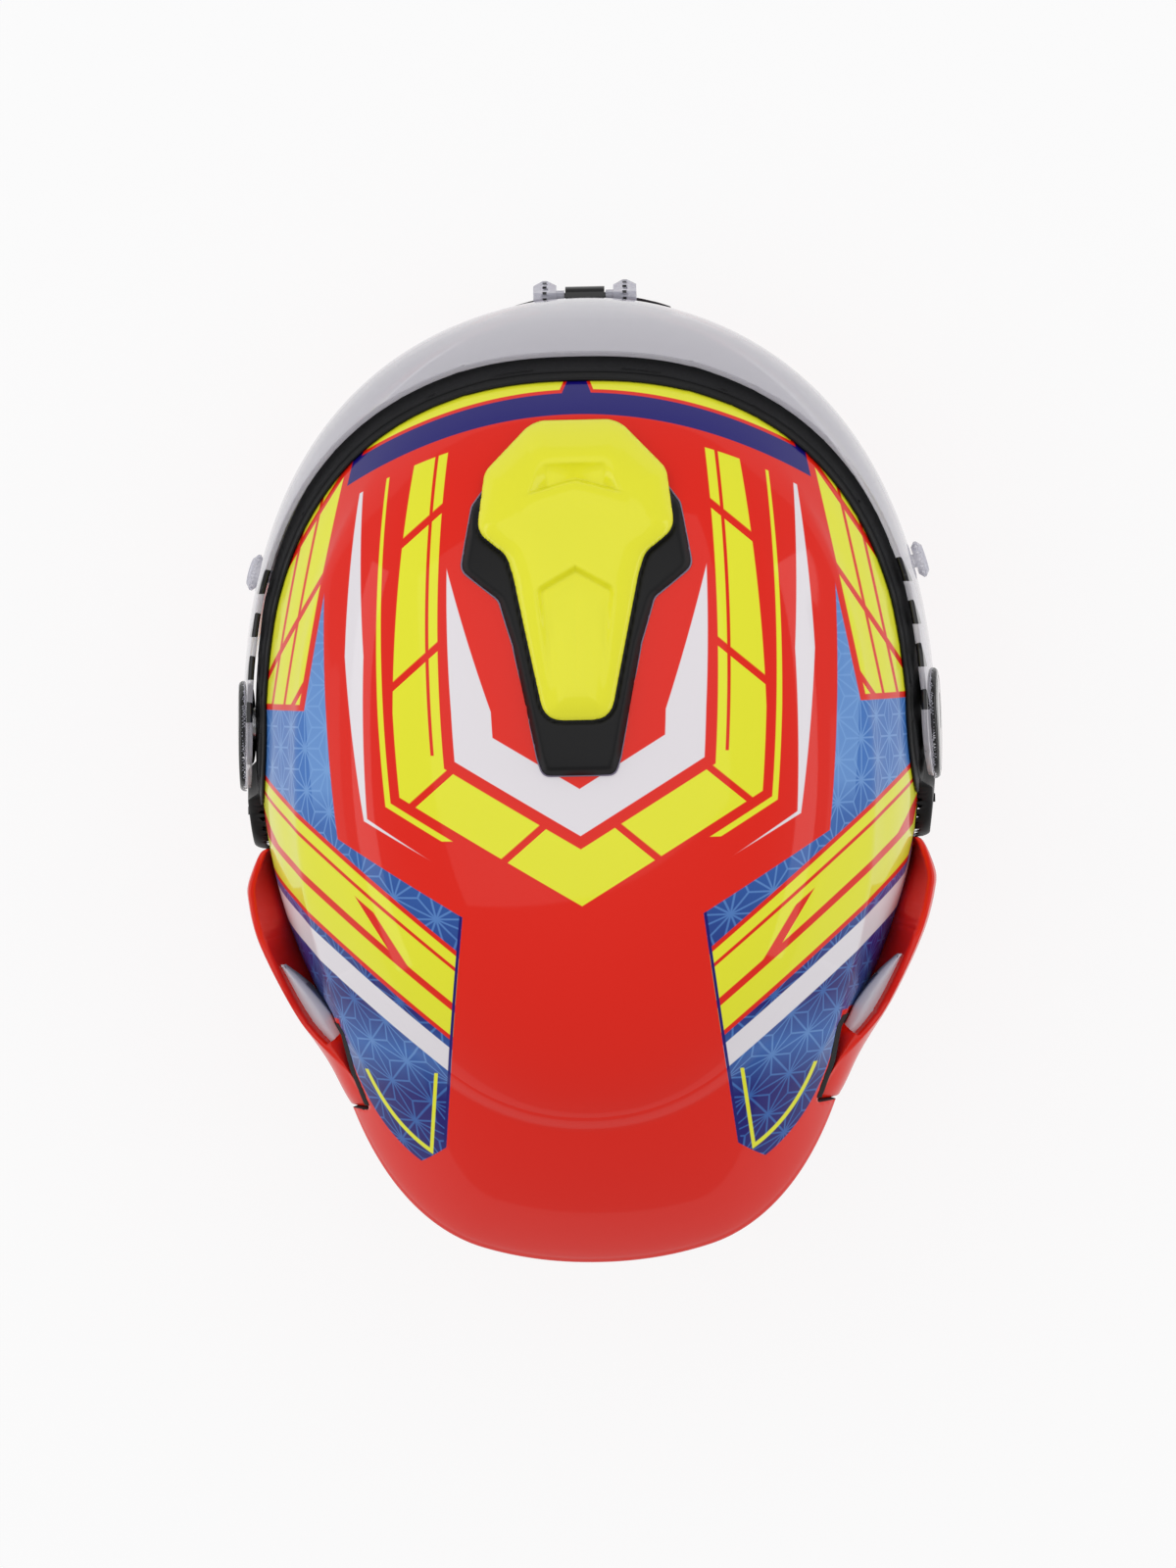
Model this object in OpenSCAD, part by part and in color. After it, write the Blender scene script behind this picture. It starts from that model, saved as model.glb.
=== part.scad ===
// Full face motorcycle helmet for the race track, closed visor, millimetres.
// X runs across the helmet, the face looks along -Y and Z points up.

/* [Shell] */
// Height of the bare shell, bottom edge to crown
shell_h = 256; // [246:1:270]
// Width of the bare shell at its widest
shell_w = 246; // [238:1:256]
// Thickness of the shell's laminate
shell_t = 4; // [3:0.5:5]
// Pivot axis to the front of the shell at the eye port
face_reach = 151; // [145:1:158]
// Pivot axis to the back of the bare shell
nape_reach = 166; // [158:1:174]
// How far the chin bar stands out in front of the eye port
chin_out = 5.5; // [4:0.5:7]
// Width of the neck opening's outer edge
rim_w = 198; // [188:1:208]
// Pivot axis to the front of the bottom edge
rim_front = 116; // [108:1:124]
// Pivot axis to the back of the bottom edge
rim_back = 108; // [100:1:116]

/* [Visor] */
// Height of the visor's pivot axis
pivot_z = 142; // [138:1:146]
// Thickness of the visor's sheet
visor_t = 2.2; // [1.8:0.1:2.6]
// Air gap between the shell and the visor
visor_gap = 3.8; // [3.6:0.1:4.4]
// Height of the visor's lower edge at the front
visor_low_z = 74; // [72:1:77]
// Height of the visor's upper edge at the front
visor_top_z = 198; // [194:1:200]
// Radius of the visor's round arm end
arm_r = 24; // [22:0.5:25]
// Radius of the knurled tear-off posts
post_r = 6.9; // [6:0.1:7.5]

/* [Visor lock] */
// Radius of the clear knurled lugs
lug_r = 6.2; // [5.6:0.1:6.5]
// Width of one lug along its axle
lug_w = 8.7; // [8:0.1:9.5]
// Length of the black lock bar between the necks
bar_l = 14.8; // [13:0.2:17]
// Radius of the black lock bar
bar_r = 3.9; // [3.4:0.1:4.2]

/* [Top vent] */
// Widest width of the vent's sliding cover
cover_w = 68; // [62:1:72]
// Thickness of the cover along its middle
cover_t = 6; // [5:0.5:7]
// Rise of the vent's deck over the crown
deck_rise = 3.4; // [3:0.2:5]
// Slide of the cover along the crown
cover_travel = 14; // [11:0.5:15]

/* [Chin vent] */
// Width of the chin vent's opening
chin_vent_w = 52; // [44:1:58]
// Height of the chin vent's opening
chin_vent_h = 16; // [14:0.5:18]
// Upward slide of the chin vent's shutter
chin_travel = 8; // [5:0.5:9]

/* [Rear] */
// How far the spoiler's tail stands out behind the bare shell
tail_depth = 32; // [28:1:38]
// Wall of the rear fins
fin_t = 3.5; // [3:0.1:4]

/* [Liner] */
// Thickness of the crash foam
foam_t = 30; // [26:1:33]
// Thickness of the crown's comfort pad
pad_t = 8; // [6:0.5:10]
// Thickness of the cheek pads
cheek_t = 34; // [30:1:37]
// Diameter of the D-rings' wire
ring_wire = 3.6; // [3:0.1:4]

/* [Hidden] */
// Places along the helmet are given as reach, in front of the pivot axis
centre_back = 8;
tail_reach = nape_reach + tail_depth;
crown_back = 18;
side_wide_z = 105;
front_wide_z = 75;
rear_wide_z = 140;
chin_top_z = visor_low_z + 1;
chin_step = 10;
side_round = 2.5;
front_round = 2.65;
rear_round = 2.4;
tuck_round = 2.4;
brow_round = 0.45;

// Clearances: two solids of one body, two bodies, a running fit
seat = 0.3;
body_gap = 0.4;
run = 0.05;

trim_h = 9;
trim_t = 1.8;
rim_z = 2.4;

gasket_t = 2.4;
gasket_lip = 7.5;
plate_t = 1.6;
hub_r = 15;
collar_r = 9;
shank_r = 6;
cap_r = 12.5;
cap_t = 1.7;

// Facets round the shell's faces and up to the crown, outside and inside
ring_n = 44;
row_n = 11;
foam_n = 28;
foam_rows = 7;
pad_n = 22;
pad_rows = 6;

function clamp(v, lo = 0, hi = 1) = min(max(v, lo), hi);
function ease(v) = let(c = clamp(v)) c * c * (3 - 2 * c);
function mix(a, b, t) = a + (b - a) * t;

// Share of the widest size that is left at height z
function swell(z, wide_z, top, rim_share, round_p) =
    z >= wide_z
    ? pow(max(1 - pow(min((z - wide_z) / (top - wide_z), 1), round_p), 0), 1 / round_p)
    : pow(1 - (1 - pow(rim_share, tuck_round)) * pow((wide_z - z) / wide_z, tuck_round),
          1 / tuck_round);

// Half width, front and rear half lengths of the form that lies off outside the shell
function half_w(z, off = 0) =
    let(w = shell_w / 2 + off)
    w * swell(z, side_wide_z, shell_h + off, (rim_w / 2 + off) / w, side_round);
function half_front(z, off = 0) =
    let(b = face_reach + centre_back + off)
    b * swell(z, front_wide_z, shell_h + off, (rim_front + centre_back + off) / b, front_round)
    + chin_out * ease((chin_top_z - z) / chin_step);
function half_rear(z, off = 0) =
    let(b = nape_reach - centre_back + off)
    b * swell(z, rear_wide_z, shell_h + off, (rim_back - centre_back + off) / b, rear_round);
function centre(z) =
    -centre_back
    - (crown_back - centre_back) * pow(clamp((z - side_wide_z) / (shell_h - side_wide_z)), 2);
function front_p(z) = 2 + brow_round * ease((z - 85) / 100);
rear_p = 2.1;

// Point of the form at plan angle a from the front: width and reach
function plan_point(a, z, off = 0) =
    let(c = cos(a), s = sin(a), p = c >= 0 ? front_p(z) : rear_p,
        b = c >= 0 ? half_front(z, off) : half_rear(z, off))
    [sign(s) * half_w(z, off) * pow(abs(s), 2 / p), centre(z) + sign(c) * b * pow(abs(c), 2 / p)];

// Half width of the form at a reach and a height
function wide_at(reach, z, off = 0) =
    let(d = reach - centre(z), p = d >= 0 ? front_p(z) : rear_p,
        b = d >= 0 ? half_front(z, off) : half_rear(z, off))
    half_w(z, off) * pow(max(1 - pow(min(abs(d) / b, 1), p), 0), 1 / p);
function front_at(z, off = 0) = centre(z) + half_front(z, off);
function rear_at(z, off = 0) = half_rear(z, off) - centre(z);

// Height of the form over a plan place, found by halving
function top_at(x, reach, off = 0, lo = 110, hi = 0, n = 18) =
    let(h = hi == 0 ? shell_h + off : hi, m = (lo + h) / 2)
    n == 0 ? m
    : wide_at(reach, m, off) > abs(x) ? top_at(x, reach, off, m, h, n - 1)
                                      : top_at(x, reach, off, lo, m, n - 1);

// The lock's axle, and the shift that centres the whole helmet on the origin
lock_z = visor_low_z + 5;
lock_reach = front_at(lock_z, visor_gap + visor_t) + 1.2;
mid_reach = (lock_reach + lug_r - tail_reach) / 2;
function place(x, reach, z) = [x, mid_reach - reach, z];

// Heights of the rows of a form solid, closer together towards the crown
function rows(low, top, n) =
    let(c = chin_top_z, h = max(low, c + 12))
    [low, for (z = n < row_n ? [14, 38, c - chin_step, c] : [12, 28, 46, c - 10, c - 6.5, c - 3.5, c, c + 12])
              if (z > low + 4) z,
     for (k = [1 : n]) h + (top - h) * sin(90 * k / (n + 1))];

// Signed volume of a triangle list, to turn every face outward
function volume(pts, faces) =
    let(v = [for (f = faces) pts[f[0]] * cross(pts[f[1]], pts[f[2]])])
    v * [for (k = v) 1];
function outward(pts, faces) =
    volume(pts, faces) < 0 ? faces : [for (f = faces) [f[2], f[1], f[0]]];
module triangles(pts, faces) {
    polyhedron(pts, outward(pts, faces), convexity = 8);
}

// The helmet's form, off outside the shell's face, from height low to the crown
module form(off, low = 0, n = ring_n, m_rows = row_n) {
    top = shell_h + off;
    zs = rows(low, top, m_rows);
    m = len(zs);
    pts = [for (z = zs) for (k = [0 : n - 1])
               let(p = plan_point(360 * k / n, z, off)) place(p[0], p[1], z),
           place(0, centre(top), top), place(0, centre(low), low)];
    faces = [for (j = [0 : m - 2]) for (k = [0 : n - 1])
                 let(a = j * n + k, b = j * n + (k + 1) % n)
                 each [[a, b, b + n], [a, b + n, a + n]],
             for (k = [0 : n - 1]) [(m - 1) * n + k, (m - 1) * n + (k + 1) % n, m * n],
             for (k = [0 : n - 1]) [(k + 1) % n, k, m * n + 1]];
    triangles(pts, faces);
}

// Closed solid between two grids of points
module between(outer, inner) {
    nu = len(outer);
    nv = len(outer[0]);
    pts = [for (r = outer) each r, for (r = inner) each r];
    s = nu * nv;
    quads = [for (u = [0 : nu - 2]) for (v = [0 : nv - 2])
                 let(a = u * nv + v) each [[a, a + 1, a + nv + 1, a + nv],
                                           [s + a + nv, s + a + nv + 1, s + a + 1, s + a]],
             for (u = [0 : nu - 2]) let(a = u * nv, b = a + nv - 1)
                 each [[s + a, a, a + nv, s + a + nv], [b, s + b, s + b + nv, b + nv]],
             for (v = [0 : nv - 2]) let(b = (nu - 1) * nv)
                 each [[v + 1, v, s + v, s + v + 1], [b + v, b + v + 1, s + b + v + 1, s + b + v]]];
    faces = [for (q = quads) each [[q[0], q[1], q[2]], [q[0], q[2], q[3]]]];
    triangles(pts, faces);
}

// Freeform pieces are carved as one mesh
module skin() {
    resize([0, 0, 0]) children();
}

// Outline drawn in side view as reach and height, cut across from x0 to x1
module side_cut(x0 = -shell_w, x1 = shell_w) {
    translate([x0, 0, 0]) rotate([90, 0, 90]) linear_extrude(x1 - x0)
        translate([mid_reach, 0]) mirror([1, 0]) children();
}

// Everything between two reaches and two heights
module slab(r0, r1, z0, z1, x0 = -shell_w, x1 = shell_w) {
    translate(place(x0, r1, z0)) cube([x1 - x0, r1 - r0, z1 - z0]);
}

module both_sides() {
    children();
    mirror([1, 0, 0]) children();
}

// Round bar along X whose middle is at reach and height
module bar_x(r, x0, x1, reach, z, n = 64) {
    translate(place(x0, reach, z)) rotate([0, 90, 0]) cylinder(r = r, h = x1 - x0, $fn = n);
}

module rounded(r) {
    offset(r = r, $fn = 24) offset(delta = -r) children();
}

// Outlines in side view
port_low_z = visor_low_z + 13;
port_top_z = visor_top_z - 13;
module port_outline(grow = 0) {
    offset(delta = grow) rounded(14)
        polygon([[190, port_low_z], [140, port_low_z + 1], [98, port_low_z + 7],
                 [62, port_low_z + 17], [47, port_low_z + 26], [46, pivot_z + 16],
                 [80, port_top_z - 15], [120, port_top_z - 5], [190, port_top_z + 4]]);
}
// Band round the port that also shows past the visor's upper edge
module gasket_outline() {
    port_outline(7);
    intersection() {
        offset(delta = gasket_lip) visor_outline();
        polygon([[200, pivot_z], [60, pivot_z], [30, pivot_z + 10], [30, 230], [200, 230]]);
    }
}
module visor_outline() {
    rounded(3) union() {
        polygon([[190, visor_low_z], [126, visor_low_z + 2.5], [98, visor_low_z + 9],
                 [62, visor_low_z + 22], [30, pivot_z - arm_r - 5], [8, pivot_z - arm_r + 1.5],
                 [0, pivot_z], [4, pivot_z + arm_r - 0.5], [45, visor_top_z - 28],
                 [80, visor_top_z - 18], [120, visor_top_z - 5], [190, visor_top_z + 4]]);
        translate([0, pivot_z]) circle(arm_r, $fn = 40);
    }
}
module plate_outline(grow = 0) {
    hull() {
        translate([0, pivot_z]) circle(arm_r + 3 + grow, $fn = 36);
        translate([32, pivot_z + 5]) circle(7 + grow, $fn = 24);
        translate([-33, pivot_z - 14]) circle(14 + grow, $fn = 32);
    }
}

// Top vent: the deck that the cover slides on is turned about an axis across the helmet,
// on a circle through three places of the crown
function circle3(a, b, c) =
    let(d = 2 * (a[0] * (b[1] - c[1]) + b[0] * (c[1] - a[1]) + c[0] * (a[1] - b[1])),
        m = [(a * a) * (b[1] - c[1]) + (b * b) * (c[1] - a[1]) + (c * c) * (a[1] - b[1]),
             (a * a) * (c[0] - b[0]) + (b * b) * (a[0] - c[0]) + (c * c) * (b[0] - a[0])] / d)
    [m[0], m[1], norm(a - m)];
crown_arc = circle3([100, top_at(0, 100)], [40, top_at(0, 40)], [-20, top_at(0, -20)]);
arc_reach = crown_arc[0];
arc_z = crown_arc[1];
crown_arc_r = crown_arc[2];
deck_r = crown_arc_r + deck_rise;
side_fall = top_at(0, 55) - top_at(cover_w / 2, 55);
side_arc_r = (cover_w * cover_w / 4 + side_fall * side_fall) / (2 * side_fall);
function side_drop(x) = side_arc_r - sqrt(side_arc_r * side_arc_r - x * x);
function arc_height(x, reach, r) =
    let(rr = r - side_drop(x), d = reach - arc_reach) arc_z + sqrt(rr * rr - d * d);

// Half widths of the vent along the crown, as reach and share of the widest
cover_rows = [[106, 0.3], [104, 0.47], [98, 0.66], [90.5, 0.87], [86, 0.94], [80, 0.97],
              [70, 1], [66, 0.99], [61, 0.84], [57, 0.71], [52, 0.66], [40, 0.59],
              [28, 0.52], [4, 0.375], [1, 0.33], [0, 0.24]];
base_rows = [[100, 0.56], [92, 0.8], [80, 1.09], [70, 1.115], [57, 1.165], [52, 1.14],
             [48, 0.97], [43, 0.83], [39, 0.76], [26, 0.65], [-2, 0.51], [-14, 0.44],
             [-18, 0.37], [-20, 0.25]];

// Share of the vent's rows at a reach, straight between the listed places
function row_share(list, reach) =
    let(k = [for (i = [0 : len(list) - 2]) if (reach <= list[i][0] && reach >= list[i + 1][0]) i][0],
        a = list[k], b = list[k + 1])
    mix(a[1], b[1], (a[0] - reach) / (a[0] - b[0]));
function denser(list, step) =
    [for (i = [0 : len(list) - 2])
         let(a = list[i], b = list[i + 1], n = max(1, round((a[0] - b[0]) / step)))
         for (k = [0 : n - 1]) [mix(a[0], b[0], k / n), mix(a[1], b[1], k / n)],
     list[len(list) - 1]];
vent_cols = [-1, -0.86, -0.55, -0.25, 0, 0.25, 0.55, 0.86, 1];

module outer_shell() {
    color([0.87, 0.17, 0.13]) skin() difference() {
        form(0, rim_z);
        form(-shell_t, -2, foam_n, foam_rows);
        side_cut() port_outline();
        both_sides() bar_x(shank_r + seat, 90, 140, 0, pivot_z, 24);
        both_sides() rivet_hole(rivet_r + 0.1);
        vent_ports(200);
        chin_ports();
        exhaust_ports();
    }
}

// Bead that grips the shell's bottom edge and carries the helmet on a table
module bottom_edge_trim() {
    color([0.1, 0.1, 0.11]) skin() difference() {
        intersection() {
            form(trim_t);
            slab(-250, 250, 0, trim_h);
        }
        difference() {
            form(0.1, rim_z - 0.1);
            form(-shell_t - 0.1, -3, foam_n, foam_rows);
        }
        form(-shell_t - trim_t, -4, foam_n, foam_rows);
    }
}

module eye_port_gasket() {
    color([0.12, 0.12, 0.13]) skin() difference() {
        intersection() {
            form(gasket_t, 40);
            side_cut() gasket_outline();
        }
        form(0.15, 30);
        side_cut() port_outline(-0.5);
        side_cut() plate_outline(0.5);
    }
}

// Visor and what turns with it
module visor_skin() {
    color([0.8, 0.82, 0.86, 0.5]) skin() difference() {
        intersection() {
            form(visor_gap + visor_t, 40);
            side_cut() visor_outline();
        }
        form(visor_gap, 30);
        both_sides() bar_x(hub_r + run, 90, 150, 0, pivot_z, 48);
        both_sides() bar_x(lug_r + 0.1, bar_l / 2 + 3.3, bar_l / 2 + 3.5 + lug_w, lock_reach, lock_z, 24);
        bar_x(bar_r + body_gap, -bar_l / 2 - 3.4, bar_l / 2 + 3.4, lock_reach, lock_z, 24);
        slab(lock_reach - 20, lock_reach + 20, visor_low_z - 5, lock_z,
             -bar_l / 2 - 3.5 - lug_w, bar_l / 2 + 3.5 + lug_w);
        both_sides() on_visor_side() cylinder(r = 2.6, h = 20, center = true, $fn = 24);
    }
}

plate_x = half_w(pivot_z) + plate_t + 0.5;
visor_x = half_w(pivot_z, visor_gap + visor_t);
module visor_hub() {
    color([0.75, 0.77, 0.8]) translate(place(plate_x + body_gap, 0, pivot_z)) rotate([0, 90, 0])
        difference() {
            cylinder(r = hub_r, h = visor_x - plate_x, $fn = 96);
            translate([0, 0, -1]) cylinder(r = collar_r + run, h = 12, $fn = 96);
        }
}

// Place and direction of a tear-off post, square to the visor's face
post_reach = 55;
post_z = 122;
function unit(v) = v / norm(v);
post_seat = place(wide_at(post_reach, post_z, visor_gap + visor_t), post_reach, post_z);
post_dir = unit(cross(
    place(wide_at(post_reach, post_z + 1), post_reach, post_z + 1)
    - place(wide_at(post_reach, post_z - 1), post_reach, post_z - 1),
    place(wide_at(post_reach + 1, post_z), post_reach + 1, post_z)
    - place(wide_at(post_reach - 1, post_z), post_reach - 1, post_z)));
module on_visor_side() {
    d = post_dir[0] < 0 ? -post_dir : post_dir;
    translate(post_seat) rotate([0, acos(d[2]), atan2(d[1], d[0])]) children();
}

// Round grip with a ridge and notches along its rim
module knurled(r, w, bore) {
    difference() {
        rotate_extrude($fn = 64)
            polygon([[bore, -w / 2], [r - 1.8, -w / 2], [r, -w / 10], [r, w / 10],
                     [r - 1.8, w / 2], [bore, w / 2]]);
        for (k = [0 : 15]) rotate(22.5 * k) translate([r + 0.25, 0, 0])
            cylinder(r = 0.7, h = w, center = true, $fn = 16);
    }
}

module tear_off_post() {
    color([0.85, 0.87, 0.92, 0.6]) on_visor_side() difference() {
        union() {
            translate([0, 0, 3.2]) knurled(post_r, 4, 0);
            translate([0, 0, -visor_t - 0.8]) cylinder(r = 2.5, h = 5.5, $fn = 32);
        }
        translate([0, 0, 4.6]) cylinder(r = 2.6, h = 3, $fn = 6);
    }
}

module visor_lug() {
    x = bar_l / 2 + 3.4;
    color([0.85, 0.87, 0.92, 0.6]) translate(place(x, lock_reach, lock_z)) rotate([0, 90, 0])
        union() {
            translate([0, 0, lug_w / 2]) knurled(lug_r, lug_w, 1.65);
            translate([0, 0, -3]) difference() {
                cylinder(r = 2.5, h = 3, $fn = 64);
                translate([0, 0, -1]) cylinder(r = 1.65, h = 6, $fn = 64);
            }
        }
}

module visor_lock_bar() {
    color([0.08, 0.08, 0.09]) union() {
        bar_x(bar_r, -bar_l / 2, bar_l / 2, lock_reach, lock_z);
        bar_x(1.6, -bar_l / 2 - 9, bar_l / 2 + 9, lock_reach, lock_z);
        translate(place(-5, lock_reach + 3, lock_z - 9.5)) cube([10, 2, 9.5]);
    }
}

// Catch on the chin bar behind the lock's tongue
module lock_catch() {
    z1 = visor_low_z - 2.5;
    color([0.1, 0.1, 0.11]) skin() difference() {
        slab(lock_reach - 8, lock_reach + 0.6, z1 - 12, z1, -9, 9);
        form(0.15, 20);
        slab(lock_reach - 1, lock_reach + 3, z1 - 5, z1 + 1, -5.6, 5.6);
    }
}

// Black plate under the visor's arm
module visor_side_plate() {
    color([0.09, 0.09, 0.1]) skin() difference() {
        intersection() {
            form(plate_t, 90);
            side_cut(60, 160) plate_outline();
        }
        form(0.15, 80);
        bar_x(shank_r + seat, 90, 140, 0, pivot_z, 24);
        slab(-44, -29, pivot_z - 21, pivot_z - 10, 90, 150);
    }
}

module pivot_post() {
    x0 = wide_at(11, pivot_z + 11, -shell_t) - 2 * seat - 3;
    color([0.7, 0.7, 0.72]) union() {
        bar_x(11, x0, x0 + 3, 0, pivot_z);
        bar_x(shank_r, x0 + 2, plate_x + 1, 0, pivot_z);
        bar_x(collar_r, plate_x, visor_x + body_gap + 0.3, 0, pivot_z);
    }
}

module pivot_cap() {
    color([0.12, 0.12, 0.13]) translate(place(visor_x + body_gap + 0.3, 0, pivot_z))
        rotate([0, 90, 0]) difference() {
            rotate_extrude($fn = 96)
                polygon([[0, 0], [cap_r, 0], [cap_r, cap_t - 0.9], [cap_r - 0.9, cap_t], [0, cap_t]]);
            translate([0, 0, cap_t - 0.9]) cylinder(r = 3.4, h = 2, $fn = 6);
        }
}

// Lever that lets the arm off its post, in the side plate's slot
module visor_release() {
    x0 = wide_at(-29.4, pivot_z - 20.6) + 0.4;
    color([0.16, 0.16, 0.17]) translate(place(x0, -29.4, pivot_z - 20.6)) union() {
        cube([plate_t + 1.4, 10.8, 10.2]);
        translate([1, 1.6, 1]) cube([plate_t + 2.6, 3, 8.2]);
    }
}

// Ports of the top vent, through the shell and the foam
module vent_ports(low) {
    both_sides() hull() {
        for (r = [44, 56]) translate(place(10, r, low)) cylinder(r = 4.5, h = 90, $fn = 20);
    }
}

module top_vent_base() {
    list = denser(base_rows, 16);
    w = cover_w / 2;
    color([0.07, 0.07, 0.08]) skin() difference() {
        between(
            [for (p = list) [for (c = vent_cols) let(x = c * p[1] * w, e = ease((abs(c) - 0.8) / 0.2))
                place(x, p[0], arc_height(x, p[0], deck_r) - 1.6 * e)]],
            [for (p = list) [for (c = vent_cols) let(x = c * p[1] * w)
                place(x, p[0], top_at(x, p[0], 0.45))]]);
        vent_ports(200);
    }
}

// Height of the cover over its deck, crowned along the middle and thin at its edge
function cover_rise(c, reach) =
    let(side = 1 - pow(abs(c), 2.6), tail = ease(reach / 16), nose = ease((107 - reach) / 14))
    2 + (cover_t - 2) * side * mix(0.35, 1, tail) * nose;
module top_vent_cover() {
    list = denser(cover_rows, 13);
    w = cover_w / 2;
    color([0.9, 0.9, 0.2]) skin() difference() {
        between(
            [for (p = list) [for (c = vent_cols) let(x = c * p[1] * w)
                place(x, p[0], arc_height(x, p[0], deck_r + cover_rise(c, p[0])))]],
            [for (p = list) [for (c = vent_cols) let(x = c * p[1] * w)
                place(x, p[0], arc_height(x, p[0], deck_r + body_gap))]]);
        vent_scoop();
        vent_recess();
    }
}

// Cutter of a width, with its floor a depth below the top of the cover
module cover_cut(w, reach, depth) {
    translate(place(-w / 2, reach, arc_height(0, reach, deck_r) + cover_t - depth)) cube([w, 0.5, 12]);
}
// Air scoop in the cover, deepest under its pointed lip
scoop_w = cover_w / 2;
module vent_scoop() {
    hull() {
        cover_cut(scoop_w * 0.65, 97, 1.9);
        cover_cut(scoop_w, 86, 1.8);
    }
    hull() {
        cover_cut(scoop_w, 86.2, 3.2);
        cover_cut(2, 90, 1.5);
    }
}
// Pointed recess in the cover's back half, running out to the rear
module vent_recess() {
    hull() {
        cover_cut(1.2, 60, 2.2);
        cover_cut(scoop_w * 0.78, 50, 2.4);
        cover_cut(scoop_w * 0.62, 26, 0.6);
    }
}

// Chin vent in the front of the chin bar
chin_vent_z = 42;
chin_top = chin_vent_z + chin_vent_h / 2;
chin_low = chin_vent_z - chin_vent_h / 2;
chin_flat = front_at(chin_top + chin_travel + 0.5) + 0.1;
module chin_ports() {
    slab(80, 200, chin_low + 2, chin_top - 2, -chin_vent_w / 2 + 8, chin_vent_w / 2 - 8);
}
// Plan curve of the chin vent, swept straight up
function chin_arc(w, r) =
    [for (k = [-6 : 6]) let(x = w * k / 12) [x, mid_reach - (r - x * x / 190)]];
module chin_band(w, r0, r1, z0, z1) {
    a = chin_arc(w, r0);
    b = chin_arc(w, r1);
    translate([0, 0, z0]) linear_extrude(z1 - z0)
        polygon([each a, for (k = [len(b) - 1 : -1 : 0]) b[k]]);
}
module chin_vent_housing() {
    color([0.1, 0.1, 0.11]) skin() difference() {
        intersection() {
            chin_band(chin_vent_w + 12, chin_flat - 14, chin_flat + 4.6, chin_low - 5, chin_top + 9);
            translate([0, 0, chin_vent_z + 2]) rotate([90, 0, 0]) linear_extrude(240)
                rounded(5) square([chin_vent_w + 12, chin_vent_h + 14], center = true);
        }
        form(0.15, 10);
        chin_band(chin_vent_w, chin_flat - 20, chin_flat + 8, chin_low, chin_top);
        chin_band(chin_vent_w + 4, chin_flat + 0.5, chin_flat + 3, chin_low - 2, chin_top + 20);
    }
}
module chin_vent_shutter() {
    z0 = chin_low - 0.5;
    color([0.16, 0.16, 0.17]) skin() union() {
        chin_band(chin_vent_w + 3, chin_flat + 0.9, chin_flat + 2.7, z0, z0 + chin_vent_h + 1);
        chin_band(16, chin_flat + 2.6, chin_flat + 5.2, z0 + 1.5, z0 + 4);
    }
}
module chin_vent_grille() {
    color([0.2, 0.2, 0.21]) skin() difference() {
        chin_band(chin_vent_w - 0.6, chin_flat - 1.2, chin_flat + 0.3, chin_low + 0.3, chin_top - 0.3);
        form(0.15, 10);
        for (x = [-3 : 3])
            slab(80, 200, chin_low + 2.4, chin_top - 2.4, x * 6.8 - 2.4, x * 6.8 + 2.4);
    }
}

// Rear exhaust ports below the tail
exhaust_a = 148;
exhaust_z = 78;
exhaust_l = 26;
module exhaust_outline(r) {
    p = plan_point(exhaust_a, exhaust_z);
    translate(place(p[0], p[1], exhaust_z)) rotate([90, 0, 180 - exhaust_a]) linear_extrude(60, center = true)
        hull() for (s = [-0.5, 0.5]) translate([s * exhaust_l, 0]) circle(r, $fn = 24);
}
module exhaust_ports() {
    both_sides() exhaust_outline(6);
}
module exhaust_grille() {
    p = plan_point(exhaust_a, exhaust_z);
    color([0.1, 0.1, 0.11]) skin() difference() {
        intersection() {
            form(2.2, -2);
            exhaust_outline(9);
        }
        form(0.15, -4);
        translate(place(p[0], p[1], exhaust_z)) rotate([90, 0, 180 - exhaust_a])
            for (k = [-2 : 2]) translate([k * 6.3, 0, 0]) cube([3.2, 9.2, 60], center = true);
    }
}

// Tail of the spoiler: how far back it reaches at each height
tail_low_z = 122;
tail_edge_z = 163;
tail_edge_t = 5;
tail_top_z = 222;
function tail_rear(z) =
    z < tail_edge_z
    ? mix(rear_at(tail_low_z) - 3, tail_reach - 1.5, pow(clamp((z - tail_low_z) / (tail_edge_z - tail_low_z)), 1.6))
    : z < tail_edge_z + tail_edge_t ? tail_reach
    : mix(tail_reach - 1, rear_at(tail_top_z) - 2,
          pow(clamp((z - tail_edge_z - tail_edge_t) / (tail_top_z - tail_edge_z - tail_edge_t)), 1.15));
function tail_out(z, a) =
    max(tail_rear(z) - rear_at(z), 0) * ease((180 - abs(a - 180) - 118) / 47);
tail_zs = [tail_low_z, 132, 142, 152, tail_edge_z, tail_edge_z + tail_edge_t, 176, 186, 197, 208, tail_top_z];
tail_as = [for (k = [0 : 16]) 118 + 124 * k / 16];
module rear_spoiler() {
    color([0.87, 0.17, 0.13]) skin() difference() {
        between(
            [for (z = tail_zs) [for (a = tail_as)
                let(p = plan_point(a, z, seat + 0.8 + tail_out(z, a))) place(p[0], p[1], z)]],
            [for (z = tail_zs) [for (a = tail_as)
                let(p = plan_point(a, z, seat + 0.15)) place(p[0], p[1], z)]]);
        both_sides() fin_zone(seat);
    }
}

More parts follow.
